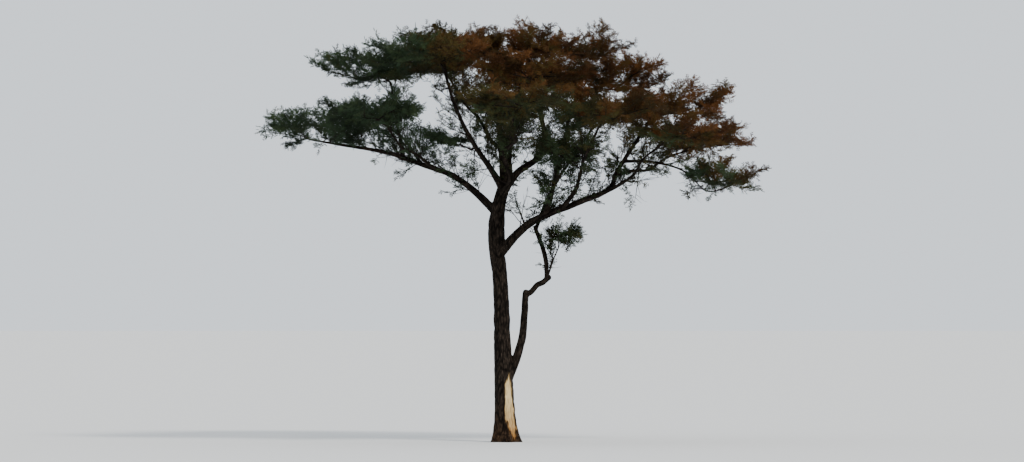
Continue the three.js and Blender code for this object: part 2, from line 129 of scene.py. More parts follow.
# The masses of foliage, whose nodes end in _foliage: the middle, reach and half height of each one's space
MASSES = {
    "left_low": ((-3.98, -0.2, 6.66), 1.39, 0.62),
    "left_front": ((-2.85, -2.05, 6.98), 1.2, 0.47),
    "left_back": ((-2.75, 2.05, 7.03), 1.2, 0.47),
    "left_top": ((-2.98, 0.15, 7.96), 1.36, 0.64),
    "front_left": ((-1.65, -2.4, 8.18), 1.55, 0.55),
    "back_left": ((-1.6, 2.45, 8.2), 1.55, 0.55),
    "centre_left": ((-0.95, -0.05, 8.46), 1.6, 0.6),
    "centre": ((1.15, 0.05, 8.48), 1.72, 0.68),
    "front": ((0.45, -2.35, 7.85), 1.55, 0.62),
    "back": ((0.5, 2.4, 7.9), 1.55, 0.62),
    "far_front": ((0.3, -3.65, 7.2), 1.35, 0.49),
    "far_back": ((0.05, 3.7, 7.28), 1.35, 0.49),
    "centre_right": ((2.15, -0.1, 7.76), 1.58, 0.82),
    "front_right": ((2.2, -2.6, 7), 1.5, 0.64),
    "back_right": ((2.25, 2.6, 7.1), 1.5, 0.64),
    "right": ((3.7, 0.1, 7.24), 1.5, 0.76),
    "right_front": ((3.6, -1.9, 6.6), 1.25, 0.58),
    "right_back": ((4.32, 1.6, 6.56), 1.27, 0.58),
    "right_tip": ((4.66, -0.45, 5.66), 1.1, 0.48),
    "middle": ((1.2, -0.8, 6.22), 0.98, 0.46),
    "tuft": ((-1.15, -0.65, 6.5), 0.85, 0.42),
    "sprig": ((1.33, 0.06, 4.38), 0.38, 0.28),
}

# The limbs, each after the one that carries it: the carrier, the share of its length where the limb leaves,
# the mass or the point where it ends, how far its middle is lifted, its radii, and its own bends if any
LIMBS = {
    "left_bough": ("trunk", 0.865, "left_low", 0.38, 0.084, 0.034),
    "left_riser": ("left_bough", 0.655, "left_top", 0, 0.042, 0.024),
    "left_front_bough": ("left_bough", 0.37, "left_front", -0.19, 0.044, 0.024),
    "left_back_bough": ("left_bough", 0.48, "left_back", -0.08, 0.042, 0.024),
    "middle_leader": ("trunk", 0.99, "centre_left", -0.06, 0.1, 0.031),
    "left_leader": ("trunk", 0.955, "front_left", -0.28, 0.074, 0.028),
    "tuft_twig": ("left_leader", 0.4, "tuft", -0.04, 0.026, 0.015),
    "back_left_bough": ("middle_leader", 0.28, "back_left", -0.18, 0.048, 0.026),
    "right_leader": ("trunk", 0.95, "centre", 0, 0.084, 0.031, (0.25, 0.02, 5.76), (0.84, -0.03, 6.38)),
    "front_leader": ("trunk", 0.92, "front", -0.23, 0.074, 0.028),
    "far_front_bough": ("front_leader", 0.5, "far_front", -0.14, 0.042, 0.024),
    "back_leader": ("trunk", 0.935, "back", -0.23, 0.074, 0.028),
    "far_back_bough": ("back_leader", 0.5, "far_back", -0.14, 0.042, 0.024),
    "right_bough": (
        "trunk", 0.705, "right", 0, 0.1, 0.034,
        (0.52, -0.04, 4.68), (1.39, -0.06, 5.06), (2.2, 0, 5.4), (2.42, 0.04, 5.83),
    ),
    "right_riser": ("right_bough", 0.3, "centre_right", -0.06, 0.056, 0.028),
    "middle_twig": ("right_riser", 0.3, "middle", 0, 0.026, 0.015),
    "front_right_bough": ("right_bough", 0.38, "front_right", -0.09, 0.05, 0.026),
    "right_front_bough": ("right_bough", 0.6, "right_front", -0.06, 0.042, 0.024),
    "right_back_bough": ("right_bough", 0.7, "right_back", -0.06, 0.04, 0.024),
    "right_low_bough": (
        "right_bough", 0.78, "right_tip", 0, 0.034, 0.018, (3.16, -0.1, 5.99), (3.8, -0.26, 5.8),
    ),
    "cross_twig": ("right_bough", 0.19, (0.2, -0.08, 5.3), -0.04, 0.02, 0.008),
    "second_stem_lower": ("trunk", 0.2, (0.44, 0.06, 3.2), 0, 0.104, 0.068, (0.34, 0.05, 2.15)),
    "second_stem_elbow": ("second_stem_lower", 1, (0.93, 0.09, 3.52), 0, 0.06, 0.06),
    "second_stem_upper": ("second_stem_elbow", 1, (0.64, 0.33, 4.6), 0, 0.054, 0.046, (0.85, 0.17, 4)),
    "second_stem_top": ("second_stem_upper", 1, "back_right", 0, 0.043, 0.027, (1.05, 0.9, 5.5)),
    "sprig_twig": ("second_stem_elbow", 0.85, "sprig", 0, 0.02, 0.011),
}

# Bark: the width of the fused skin's faces, its relief, and the scar of bare wood low on the trunk
SKIN_STEP = 0.0155
SKIN_SIDES = 24
SKIN_SAMPLE = 0.04
SKIN_SMOOTHING = 2
DOME_TURNS = np.radians((25, 50, 75))
BELOW_GROUND = 0.12
CUT_BAND = 0.001
WOBBLE_SHARE = 0.16
WOBBLE_PITCH = 0.34
NOISE_BETWEEN_LIMBS = 7.3
NOISE_ROWS = (0.5, 9.5)
FISSURE_DEPTH = 0.011
FISSURE_OF_RADIUS = 0.075
FISSURE_PITCH = 0.085
FISSURE_STRETCH = 3.6
FISSURE_SHARPNESS = 0.2
FISSURE_BETWEEN_LIMBS = 3.7
RIDGE_SHARE = 0.5
LEAST_RELIEF_RADIUS = 0.02
LUMP_PITCH = 0.21
LUMP_OF_RADIUS = 0.045
SCAR_TURN = math.radians(-52)
SCAR_HEIGHT = 0.76
SCAR_HALF_HEIGHT = 0.66
SCAR_HALF_WIDTH = 0.115
SCAR_DEPTH = 0.016
SCAR_LIP = 0.01
SCAR_END = 1.1
SCAR_FADE = 0.2
SCAR_LIP_PLACE = 1.25
SCAR_LIP_WIDTH = 0.22
OFF_SCAR = 9
SCAR_RAGGED = 0.3
SCAR_NOTCHES = (16, 16, 5)
SCAR_FINE_NOTCHES = (40, 40, 12)
SCAR_FINE_SHARE = 0.5
SCAR_SWAY = 0.7
SCAR_SWAY_PACE = 1.6
SCAR_SWAY_ROW = 4.5
SCAR_NARROWING = 0.4

# Twiglets of a spray, shoots along the arms, and the leaves on both. A leaf is a slim blade with pairs of
# leaflets, each stated by where it starts along the leaf, its turn, its length and its width. A twig's way
# is how much of its carrier's direction, of stray and of rise goes into its own direction.
SIDE_TWIGLETS = 12
SIDE_FIRST = 0.06
SIDE_LAST = 0.94
SIDE_STRAY = 0.3
SIDE_LIMITS = (0.03, 0.98)
SIDE_SPREADS = (0.65, 1.05)
SIDE_FULLNESS = 1.3
SIDE_LEAST = 0.1
SIDE_LIFTS = (-0.28, 0.72)
TWIGLET_STEPS = 3
TWIGLET_RADIUS = 0.0042
TWIGLET_END_RADIUS = 0.0014
TWIGLET_CROOK = 0.05
TWIGLET_TURN_UP = 0.12
MAIN_STEPS = 5
MAIN_RADIUS = 0.0085
MAIN_BOW = 0.06
MAIN_SHARE = 0.94
SHOOT_SPACING = 0.085
SHOOT_FIRST = 0.2
SHOOT_LENGTHS = (0.192, 0.4)
SHOOT_WAY = (0.5, 0.6, 0.2)
SHOOT_SLACK = 0.12
THICK_SIDES = 8
ARM_SIDES = 6
MAIN_SIDES = 4
FINE_SIDES = 3
LEAF_SPACING = 0.031
LEAF_SIZES = (0.09864, 0.17536)
LEAF_UPRIGHT = 0.75
LEAF_TILT_STRAY = 0.5
LEAF_AHEAD = 0.7
LEAF_ASIDE = 0.9
LEAF_ASIDE_AT_END = 0.15
LEAF_STRAY = 0.4
LEAF_KINDS = 8
LEAFLETS = np.array((
    (0, 0, 1, 0.1),
    (0.2, 1.05, 0.42, 0.13),
    (0.24, -1.05, 0.42, 0.13),
    (0.44, 0.95, 0.42, 0.13),
    (0.48, -0.95, 0.42, 0.13),
    (0.68, 0.8, 0.34, 0.12),
    (0.72, -0.8, 0.34, 0.12),
))
LEAFLET_WIDEST = 0.45
LEAFLET_FOLD = 0.08
LEAFLET_TURNS = (-0.2, 0.2)
LEAFLET_PITCHES = (-0.3, 0.45)
LEAFLET_SIZES = (0.8, 1.15)
LEAFLET_ROLLS = (-0.6, 0.6)

# Side twigs that stand off the limbs inside the crown
BARE_SPACING = 0.12
BARE_FIRST = 0.12
BARE_FORKS = 7
BARE_LENGTHS = (0.4, 0.96)
BARE_WAY = (0.7, 0.5, 0.35)
BARE_RADIUS = 0.0125
FORK_PLACES = (0.2, 0.95)
FORK_WAY = (0.8, 0.6, 0.25)
FORK_LENGTHS = (0.5, 1)
FORK_LEAST = 0.08
FORK_RADIUS = 0.0062
LEAFY_FORKS = 0.36
THIN_STEPS = 16
LEAST_SKIN_RADIUS = 0.018

# Leaf colours from dark green to dry russet, as linear red, green and blue, and where the crown turns russet
LEAF_TINTS = (
    (0.025, 0.044, 0.021),
    (0.033, 0.051, 0.021),
    (0.037, 0.045, 0.016),
    (0.047, 0.042, 0.012),
    (0.059, 0.04, 0.01),
    (0.07, 0.035, 0.008),
    (0.08, 0.032, 0.008),
    (0.096, 0.038, 0.01),
)
# Painted shade: copies of the leaf tints darkened to this tone, given at random to this share of the sprays
PAINTED_SHADE_TONE = 0.5
PAINTED_SHADE_SHARE = 0.38
# Russet on the top and right is dry leaves and also painted sunlight; the greener, darker underside is
# partly painted shade
DRY_FROM = -2.7
DRY_TO = -0.4
DRIEST = 0.82
DRY_STRAY = 0.2
DRY_UNDERSIDE = 7.9
DRY_SLOPE = 0.38
DRY_SLOPE_FROM = 1.0
DRY_FADE = 1.1
GREEN_BELOW = 0.6
TINT_STRAY = 0.9
TWIG_TINTS = ((0.013, 0.009, 0.007), (0.021, 0.015, 0.011), (0.009, 0.007, 0.005))

# Roughness and specular level of each material
LEAF_SHEEN = (0.68, 0.12)
TWIG_SHEEN = (0.85, 0.1)
BARK_SHEEN = (0.92, 0.08)
FLOOR_SHEEN = (0.9, 0.2)

# The colours of bark and of the scar's bare wood: stops of place and colour
WHITE = (1, 1, 1)
BLACK = (0, 0, 0)
GREY = ((0, BLACK), (1, WHITE))
BARK_COLOUR = (0.06, 0.05, 0.04)
BARK_GRAIN = ((0.3, (0.009, 0.007, 0.005)), (0.52, (0.023, 0.017, 0.013)), (0.72, (0.052, 0.038, 0.028)))
BARK_PATCHES = ((0.42, (0.8, 0.78, 0.76)), (0.66, WHITE))
# Painted shade: the deeper a place lies in a fissure, the darker its bark
FISSURE_SHADE = ((0.25, WHITE), (0.85, (0.3, 0.28, 0.27)))
# Painted shade: darker towards the cracks between the bark's plates
CRACK_SHADE = ((0, (0.3, 0.28, 0.26)), (0.16, WHITE))
FOOT_GRAIN = ((0.3, (0.028, 0.014, 0.007)), (0.52, (0.065, 0.034, 0.016)), (0.72, (0.12, 0.066, 0.032)))
FOOT_SHARE = ((0, (0.5, 0.5, 0.5)), (1, BLACK))
BARE_WOOD = ((0.3, (0.24, 0.15, 0.06)), (0.48, (0.52, 0.39, 0.19)), (0.68, (0.72, 0.57, 0.32)))
SCAR_FOOT = ((0.15, (0.5, 0.34, 0.22)), (0.95, WHITE))
SCAR_RIM = ((0, WHITE), (0.3, (0.3, 0.24, 0.2)), (0.75, (0.75, 0.68, 0.6)), (1, WHITE))

# The patterns of bark and bare wood: a noise's stretch, scale and detail, the cracked plates and the bumps
GRAIN_NOISE = ((1, 1, 0.28), 42, 6)
PATCH_NOISE = ((1, 1, 1), 2.6, 4)
FIBRE_NOISE = ((1, 1, 0.07), 60, 4)
PLATE_STRETCH = (1, 1, 0.22)
PLATE_SCALE = 24
PLATE_WARP = 0.03
PLATE_WARP_SCALE = 14
BUMP_STRENGTH = 0.8
BUMP_DEPTH = 0.006

# The pieces that the leaves are joined into: name, slot and masses
LEAF_PIECES = (
    ("left_leaves", "green_foliage", ("left_low", "left_front", "left_back", "left_top")),
    ("edge_leaves", "green_foliage", ("front_left", "back_left", "far_front", "far_back", "right_tip")),
    ("inner_leaves", "green_foliage", ("tuft", "sprig")),
    ("middle_leaves", "olive_foliage", ("centre_left", "centre", "front", "back", "middle")),
    ("right_leaves", "olive_foliage", ("centre_right", "front_right", "back_right")),
    ("tip_leaves", "olive_foliage", ("right", "right_front", "right_back")),
)
SIDE_LEAVES_WITH = "inner_leaves"

# Floor, sky and sun
FLOOR_RADIUS = 900
FLOOR_SIDES = 96
FLOOR_COLOUR = (0.66, 0.66, 0.655)
SKY_COLOUR = (0.78, 0.84, 0.9)
SKY_STRENGTH = 1.35
SUN_STRENGTH = 3.2
SUN_SOFTNESS = math.radians(12)
SUN_COLOUR = (1.0, 0.95, 0.87)
SUN_TURN = (math.radians(50), 0, math.radians(35))

# Directions, and how nearly along UP or Y a curve may run before another one is used to stand square to it
X, Y, UP = np.eye(3)
STEEP = 0.9
SIDEWAYS = 0.8

# The hash behind the repeatable draws, the same as in the part's source
HASH_MASK = 0xFFFFFFFF
HASH_FACTORS = (0x9E3779B1, 0x85EBCA77, 0xC2B2AE3D)
HASH_MIXERS = ((15, 0x2C1B3C6D), (12, 0x297A2D39))


def unit(vectors):
    """Vectors scaled to length one."""
    return vectors / np.maximum(np.linalg.norm(vectors, axis=-1, keepdims=True), 1e-12)


def turned(vector, axis, angle):
    """A vector at right angles to a unit axis, turned about it."""
    return vector * math.cos(angle) + np.cross(axis, vector) * math.sin(angle)


def chance(a, b, c):
    """A repeatable number from 0 to 1 for draw c of item b in group a."""
    first, second, third = HASH_FACTORS
    h = ((a + 1) * first ^ (b + 1) * second ^ (c + SEED) * third) & HASH_MASK
    for shift, factor in HASH_MIXERS:
        h = (h ^ h >> shift) * factor & HASH_MASK
    return (h ^ h >> HASH_MIXERS[0][0]) / (HASH_MASK + 1)


def either(a, b, c):
    """The same as a number from -1 to 1."""
    return 2 * chance(a, b, c) - 1


class Curve:
    """A smooth curve, read at shares of its length."""

    divisions = 200
    step = 0.0001

    def __init__(self):
        marks = np.linspace(0, 1, self.divisions + 1)
        stretches = np.diff(self.point(marks), axis=0)
        self.lengths = np.concatenate(([0], np.cumsum(np.linalg.norm(stretches, axis=1))))
        self.length = self.lengths[-1]
        self.marks = marks

    def mark_at(self, share):
        return np.interp(np.asarray(share) * self.length, self.lengths, self.marks)

    def at(self, share):
        return self.point(self.mark_at(share))

    def tangent_at(self, share):
        mark = self.mark_at(share)
        ahead = self.point(np.minimum(mark + self.step, 1))
        return unit(ahead - self.point(np.maximum(mark - self.step, 0)))


class Spline(Curve):
    """A Catmull-Rom curve through points."""

    def __init__(self, points):
        points = np.array(points, float)
        first = 2 * points[0] - points[1]
        last = 2 * points[-1] - points[-2]
        self.points = np.concatenate(([first], points, [last]))
        super().__init__()

    def point(self, mark):
        spans = len(self.points) - 3
        place = np.asarray(mark, float) * spans
        index = np.minimum(place.astype(int), spans - 1)
        t = (place - index)[..., None]
        p0, p1, p2, p3 = (self.points[index + k] for k in range(4))
        start, end = (p2 - p0) / 2, (p3 - p1) / 2
        square = 3 * (p2 - p1) - 2 * start - end
        cube = 2 * (p1 - p2) + start + end
        return p1 + t * (start + t * (square + t * cube))


class Bend(Curve):
    """A curve from one point to another, pulled towards a third."""

    def __init__(self, start, pull, end):
        self.corners = (start, pull, end)
        super().__init__()

    def point(self, mark):
        t = np.asarray(mark, float)[..., None]
        start, pull, end = self.corners
        return (1 - t) ** 2 * start + 2 * t * (1 - t) * pull + t**2 * end


def on_tube(curve, steps, share):
    """A place on a curve's straight stretches, at a share of its length."""
    step = min(int(share * steps), steps - 1)
    low, high = curve.at(step / steps), curve.at((step + 1) / steps)
    return low + (high - low) * (share * steps - step)


def trunk_axis():
    steps = len(TRUNK_LEAN) - 1
    return Spline([
        (lean, TRUNK_BOW * math.sin(math.pi * i / steps), TRUNK_HEIGHT * i / steps)
        for i, lean in enumerate(TRUNK_LEAN)
    ])


def trunk_radius(height):
    left = np.clip(1 - height / TRUNK_HEIGHT, 0, None)
    taper = (TRUNK_LOW_RADIUS - TRUNK_TOP_RADIUS) * left**TRUNK_TAPER_POWER
    swell = FORK_SWELL * np.exp(-(((height - FORK_HEIGHT) / FORK_SPREAD) ** 2))
    return TRUNK_TOP_RADIUS + taper + swell + FLARE_RADIUS * np.exp(-height / FLARE_HEIGHT)


def flare_lobes(height, angle):
    depth = FLARE_LOBE_DEPTH * np.exp(-height / FLARE_HEIGHT)
    return 1 + depth * np.cos(FLARE_LOBES * angle + FLARE_LOBE_TURN)


class Limb:
    """A limb's axis and its radius at a share of its length."""

    def __init__(self, name, index, carrier):
        _, share, target, rise, self.root, self.tip, *bends = LIMBS[name]
        self.grows_on = share == 1
        start = carrier.axis.at(share)
        if self.grows_on:
            start = start - carrier.axis.tangent_at(1) * self.root
        bends = [np.array(bend, float) for bend in bends]
        last = bends[-1] if bends else start
        end = entry_of(target, last) if target in MASSES else np.array(target, float)
        if not bends:
            bends = crooked_bends(index, start, end, rise)
        self.name = name
        self.mass = target if target in MASSES else None
        self.axis = Spline([start, *bends, end])

    def radius_at(self, share):
        collar = COLLAR * self.root * np.exp(-share * self.axis.length / COLLAR_LENGTH)
        taper = self.root + (self.tip - self.root) * share**TAPER_POWER
        return taper + (0 if self.grows_on else collar)


class Trunk:
    """The trunk, read as a limb is."""

    name = "trunk"
    mass = None
    tip = TRUNK_TOP_RADIUS

    def __init__(self):
        self.axis = trunk_axis()

    def radius_at(self, share):
        return trunk_radius(self.axis.at(share)[..., 2])


def entry_of(name, start):
    """Where a limb that comes from a point ends in a mass."""
    centre, reach, half = MASSES[name]
    centre = np.array(centre)
    back = unit((start - centre) * (1, 1, 0))
    return centre - UP * ENTRY_DROP * half + back * ENTRY_OUT * reach


def crooked_bends(index, start, end, rise):
    """The bends of a limb that has none of its own."""
    way = end - start
    side = unit(np.array((-way[1], way[0], 0)))
    crook = LIMB_CROOK * np.linalg.norm(way)
    bends = []
    for i in range(LIMB_BENDS):
        share = (i + 1) / (LIMB_BENDS + 1)
        lift = rise * math.sin(math.pi * share) + crook * either(index, i, 1)
        bends.append(start + way * share + side * crook * either(index, i, 0) + UP * lift)
    return bends


def joined(rows):
    """The arrays of each column of some rows, joined."""
    return tuple(map(np.concatenate, zip(*rows)))


def places_along(curve, radius_at):
    """Places along a curve, a short step apart, as points and radii."""
    shares = np.linspace(0, 1, math.ceil(curve.length / TOUCH_STEP) + 1)
    return curve.at(shares), radius_at(shares)


class Space:
    """A mass's own space: its flattened round as far as the walls to the other masses."""

    def __init__(self, name, limb_places):
        centre, self.reach, self.half = MASSES[name]
        self.centre = np.array(centre)
        walls = [self.wall_to(other) for other in MASSES if other != name]
        self.walls, self.offsets = map(np.array, zip(*walls))
        points, radii = limb_places
        near = np.linalg.norm(points - self.centre, axis=1) < self.reach + SPRAY_LENGTH
        self.near = (points[near], radii[near])

    def wall_to(self, other):
        stretch = np.array((1, 1, SPACE_FLATNESS))
        centre, reach, _ = MASSES[other]
        near, far = self.centre * stretch, np.array(centre) * stretch
        offset = (far @ far - near @ near + self.reach**2 - reach**2) / 2
        normal = (near - far) * stretch
        size = np.linalg.norm(normal)
        return normal / size, offset / size

    def holds(self, points, slack=0.0):
        """Whether each point is in the space, grown by a share of its size."""
        off = (points - self.centre) / (self.reach, self.reach, self.half)
        inside = np.linalg.norm(off, axis=-1) < 1 + slack
        clear = points @ self.walls.T + self.offsets > SPACE_GAP - slack
        return inside & clear.all(axis=-1)


def arm_clear(start, end, places):
    """Whether a straight arm stays clear of some places."""
    points, radii = places
    way = end - start
    share = np.clip((points - start) @ way / (way @ way), 0, 1)
    gaps = np.linalg.norm(points - start - share[:, None] * way, axis=1)
    return np.all(gaps > radii + ARM_RADIUS + TOUCH_GAP)


def stem_of(space, bough):
    """A mass's stem: it leaves its bough's tip along the bough, and bends to a hub."""
    tip = bough.axis.at(1)
    onwards = bough.axis.tangent_at(1)
    past = unit((space.centre - tip) * (1, 1, 0))
    hub = space.centre + past * HUB_PAST * space.reach - UP * HUB_DROP * space.half
    pull = tip + onwards * STEM_BEND * np.linalg.norm(hub - tip)
    return Bend(tip - onwards * bough.tip, pull, hub)


def arms_of(space, stem, group):
    """The arms that a stem divides into. Those that point onwards leave it last."""
    along = stem.at(1) - stem.at(0)
    ahead = math.atan2(along[1], along[0])
    count = max(LEAST_ARMS, round(2 * math.pi * space.reach / ARM_SPACING))
    arms = []
    for k in range(count):
        angle = ahead + 2 * math.pi * (k + 0.5 + ARM_STRAY * either(group, k, 0)) / count
        root = on_tube(stem, STEM_STEPS, ARM_FIRST + ARM_SPREAD * (1 + math.cos(angle - ahead)))
        outwards = np.array((math.cos(angle), math.sin(angle), 0))
        rise = UP * ARM_RISE * space.half * either(group, k, 1)
        end = space.centre + outwards * ARM_OUT * space.reach + rise
        while not space.holds(end):
            end = end + (root - end) * ARM_PULL
        bend = (root + end) / 2
        bend[2] = root[2] + (end[2] - root[2]) * ARM_EARLY_RISE
        if arm_clear(root, bend, space.near) and arm_clear(bend, end, space.near):
            arms.append(Bend(root, bend, end))
    return arms


BLADE_FACES = np.array(((0, 1, 2), (0, 2, 3), (0, 3, 1), (4, 2, 1), (4, 3, 2), (4, 1, 3)))


class Spray:
    """A flat spray: its root, its direction, side and up, its length, and the outline that it keeps to."""

    def __init__(self, root, along, side, length):
        self.root, self.along, self.side, self.length = root, along, side, length
        self.up = np.cross(side, along)
        wide = length * SPRAY_WIDTH / 2
        thick = length * SPRAY_THICKNESS
        widest = root + along * length * SPRAY_WIDEST
        low = widest - self.up * thick / 3
        self.corners = np.array((
            root, low - side * wide, low + side * wide, widest + self.up * thick * 2 / 3,
            root + along * length,
        ))
        a, b, c = (self.corners[BLADE_FACES[:, k]] for k in range(3))
        self.normals = unit(np.cross(c - b, a - b))
        self.offsets = -(a * self.normals).sum(axis=1)

    def clear_of(self, places):
        """Whether each place lies above or below the spray, or past its outline."""
        points, radii = places
        off = points - self.root
        gap = radii + TOUCH_GAP
        out = off @ self.along
        widest = SPRAY_WIDEST * self.length
        narrowing = np.minimum(out / widest, (self.length - out) / (self.length - widest))
        outline = np.maximum(narrowing, 0) * SPRAY_WIDTH * self.length / 2
        past = (out < -gap) | (out > self.length + gap)
        beside = np.abs(off @ self.side) > outline + gap
        above = np.abs(off @ self.up) > SPRAY_THICKNESS * self.length + gap
        return np.all(past | beside | above)

    def beyond(self, other):
        """Whether one of this spray's faces has the other spray wholly on its far side."""
        gaps = other.corners @ self.normals.T + self.offsets
        return np.any(np.all(gaps > SPRAY_GAP, axis=0))


def spray_that_fits(space, start, sink, yaw, group, item, places, others):
    """A spray from a place on an arm, tried in several directions, or none."""
    longest = min(SPRAY_LENGTH, SPRAY_OF_REACH * space.reach)
    for tries in range(SPRAY_TRIES):
        turn = yaw + SPRAY_YAW_STRAY * either(group, item + tries, 2)
        pitch = SPRAY_PITCH + SPRAY_PITCH_STRAY * either(group, item + tries, 3)
        along = unit(np.array((math.cos(turn), math.sin(turn), math.tan(pitch))))
        level = np.array((math.sin(turn), -math.cos(turn), 0))
        side = turned(level, along, SPRAY_ROLL_STRAY * either(group, item + tries, 4))
        spray = Spray(start - along * sink, along, side, longest * SPRAY_SHRINK**tries)
        free = all(spray.beyond(other) or other.beyond(spray) for other in others)
        if free and space.holds(spray.corners).all() and spray.clear_of(places):
            return spray
    return None


def sprays_of(space, arm, arm_index, count, group, places, others):
    """The sprays of an arm: one goes on from its end, and the others stand off its two sides by turns."""
    sprays = []
    for j in range(count):
        last = j == count - 1
        share = 1 if last else SPRAY_FIRST + (1 - SPRAY_FIRST) * j / (count - 1)
        ahead = arm.tangent_at(share)
        turn = 0 if last else SPRAY_YAW * (1 if j % 2 else -1)
        yaw = math.atan2(ahead[1], ahead[0]) + turn
        sink = SPRAY_END_SINK if last else SPRAY_SINK
        start = on_tube(arm, ARM_STEPS, share)
        item = (arm_index * count + j) * SPRAY_TRIES
        spray = spray_that_fits(space, start, sink, yaw, group, item, places, others + sprays)
        if spray:
            sprays.append(spray)
    return sprays


class Mass:
    """The stem, arms and sprays of one mass of foliage."""

    def __init__(self, bough, group, limb_places):
        self.name, self.bough, self.group = bough.mass, bough, group
        self.space = Space(self.name, limb_places)
        self.stem = stem_of(self.space, bough)
        self.arms = arms_of(self.space, self.stem, group)
        wanted = math.pi * self.space.reach**2 * SPRAYS_PER_SQUARE_METRE
        per_arm = max(LEAST_SPRAYS, int(wanted / len(self.arms) + 0.5))
        self.sprays = []
        for k, arm in enumerate(self.arms):
            others = [self.stem, *(other for other in self.arms if other is not arm)]
            near = [places_along(curve, lambda shares: shares * 0 + ARM_RADIUS) for curve in others]
            places = joined([self.space.near, *near])
            self.sprays += sprays_of(self.space, arm, k, per_arm, group, places, self.sprays)


class Shape:
    """Corners, faces and a tint for each face, gathered from arrays."""

    def __init__(self):
        self.corners, self.faces, self.tints, self.count = [], [], [], 0

    def add(self, corners, faces, tints):
        self.corners.append(corners)
        self.faces.append(faces + self.count)
        self.tints.append(np.broadcast_to(tints, len(faces)))
        self.count += len(corners)

    def add_shape(self, other):
        self.add(np.concatenate(other.corners), np.concatenate(other.faces), np.concatenate(other.tints))

    def mesh(self, name):
        corners, faces = np.concatenate(self.corners), np.concatenate(self.faces)
        mesh = bpy.data.meshes.new(name)
        size = faces.shape[1]
        mesh.vertices.add(len(corners))
        mesh.vertices.foreach_set("co", corners.astype(np.float32).ravel())
        mesh.loops.add(faces.size)
        mesh.loops.foreach_set("vertex_index", faces.astype(np.int32).ravel())
        mesh.polygons.add(len(faces))
        mesh.polygons.foreach_set("loop_start", np.arange(0, faces.size, size, dtype=np.int32))
        mesh.polygons.foreach_set("material_index", np.concatenate(self.tints).astype(np.int32))
        mesh.update(calc_edges=True)
        return mesh


def frames_along(points):
    """Two directions square to each tube at each of its points. points is tubes by steps by 3."""
    tangents = unit(np.gradient(points, axis=1))
    chord = unit(points[:, -1] - points[:, 0])
    aside = np.where(np.abs(chord[:, 2:]) > STEEP, X, UP)[:, None]
    first = unit(np.cross(tangents, aside))
    return first, np.cross(tangents, first)


def turns_round(sides):
    return np.arange(sides) * 2 * math.pi / sides


def all_round(first, second, sides):
    """Directions all round each point, from two that are square to one another."""
    turns = turns_round(sides)[:, None]
    return np.cos(turns) * first[..., None, :] + np.sin(turns) * second[..., None, :]


def ring_faces(rings, sides):
    """The triangles between rings of corners."""
    faces = []
    for i in range(rings - 1):
        for k in range(sides):
            a, b = i * sides + k, i * sides + (k + 1) % sides
            faces += [(a, b, b + sides), (a, b + sides, a + sides)]
    return faces


def add_twigs(shape, points, radii, sides, tints=0):
    """Adds many twigs of the same steps and radii, each closed to a point at its end."""
    tubes, steps, _ = points.shape
    rings = points[:, :, None] + all_round(*frames_along(points), sides) * radii[:, None, None]
    corners = np.concatenate((rings[:, :-1].reshape(tubes, -1, 3), points[:, -1:]), axis=1)
    low = (steps - 2) * sides
    ends = [(low + k, low + (k + 1) % sides, low + sides) for k in range(sides)]
    faces = np.array(ring_faces(steps - 1, sides) + ends)
    starts = np.arange(tubes)[:, None, None] * corners.shape[1]
    tints = np.repeat(np.broadcast_to(tints, tubes), len(faces))
    shape.add(corners.reshape(-1, 3), (faces + starts).reshape(-1, 3), tints)


def add_tapering(shape, points, start, end, sides, tints=0):
    """Adds many twigs that taper evenly from one radius to another."""
    add_twigs(shape, points, np.linspace(start, end, points.shape[1]), sides, tints)


def leaf_kinds(rng):
    """Some leaves of unit length, as the corners of their blades and leaflets."""
    every = (LEAF_KINDS, len(LEAFLETS))
    yaw = rng.uniform(*LEAFLET_TURNS, every) + LEAFLETS[:, 1]
    pitch = rng.uniform(*LEAFLET_PITCHES, every) * (LEAFLETS[:, 1] != 0)
    size = rng.uniform(*LEAFLET_SIZES, (*every, 1)) * LEAFLETS[:, 2:3]
    ahead = np.stack((np.cos(yaw) * np.cos(pitch), np.sin(yaw) * np.cos(pitch), np.sin(pitch)), -1)
    across = unit(np.cross(UP, ahead) + UP * rng.uniform(*LEAFLET_ROLLS, (*every, 1)))
    middle = (ahead * LEAFLET_WIDEST + np.cross(ahead, across) * LEAFLET_FOLD) * size
    edge = across * LEAFLETS[:, 3:] / 2
    leaflets = np.stack((ahead * 0, middle - edge, ahead * size, middle + edge), axis=2)
    root = np.outer(LEAFLETS[:, 0], X)
    return (leaflets + root[:, None]).reshape(LEAF_KINDS, -1, 3)


def add_leaves(shape, rng, kinds, places, ahead, tints):
    """Adds a leaf at each place, pointing ahead and facing mostly upwards."""
    count = len(places)
    lift = unit(UP * LEAF_UPRIGHT + rng.normal(0, LEAF_TILT_STRAY, (count, 3)))
    across = unit(np.cross(lift, ahead))
    turns = np.stack((ahead, across, np.cross(ahead, across)), axis=1)
    size = rng.uniform(*LEAF_SIZES, (count, 1, 1))
    chosen = kinds[rng.integers(0, LEAF_KINDS, count)]
    corners = places[:, None] + chosen @ turns * size
    first = np.arange(count * len(LEAFLETS)) * 4
    faces = (np.array(((0, 1, 2), (0, 2, 3))) + first[:, None, None]).reshape(-1, 3)
    shape.add(corners.reshape(-1, 3), faces, np.repeat(tints, len(LEAFLETS) * 2))


def stretches_at(points, line, share):
    """The two ends of the stretch of a polyline at each share of its steps, and how far along it that is."""
    place = share * (points.shape[1] - 1)
    step = np.minimum(place.astype(int), points.shape[1] - 2)
    return points[line, step], points[line, step + 1], (place - step)[..., None]


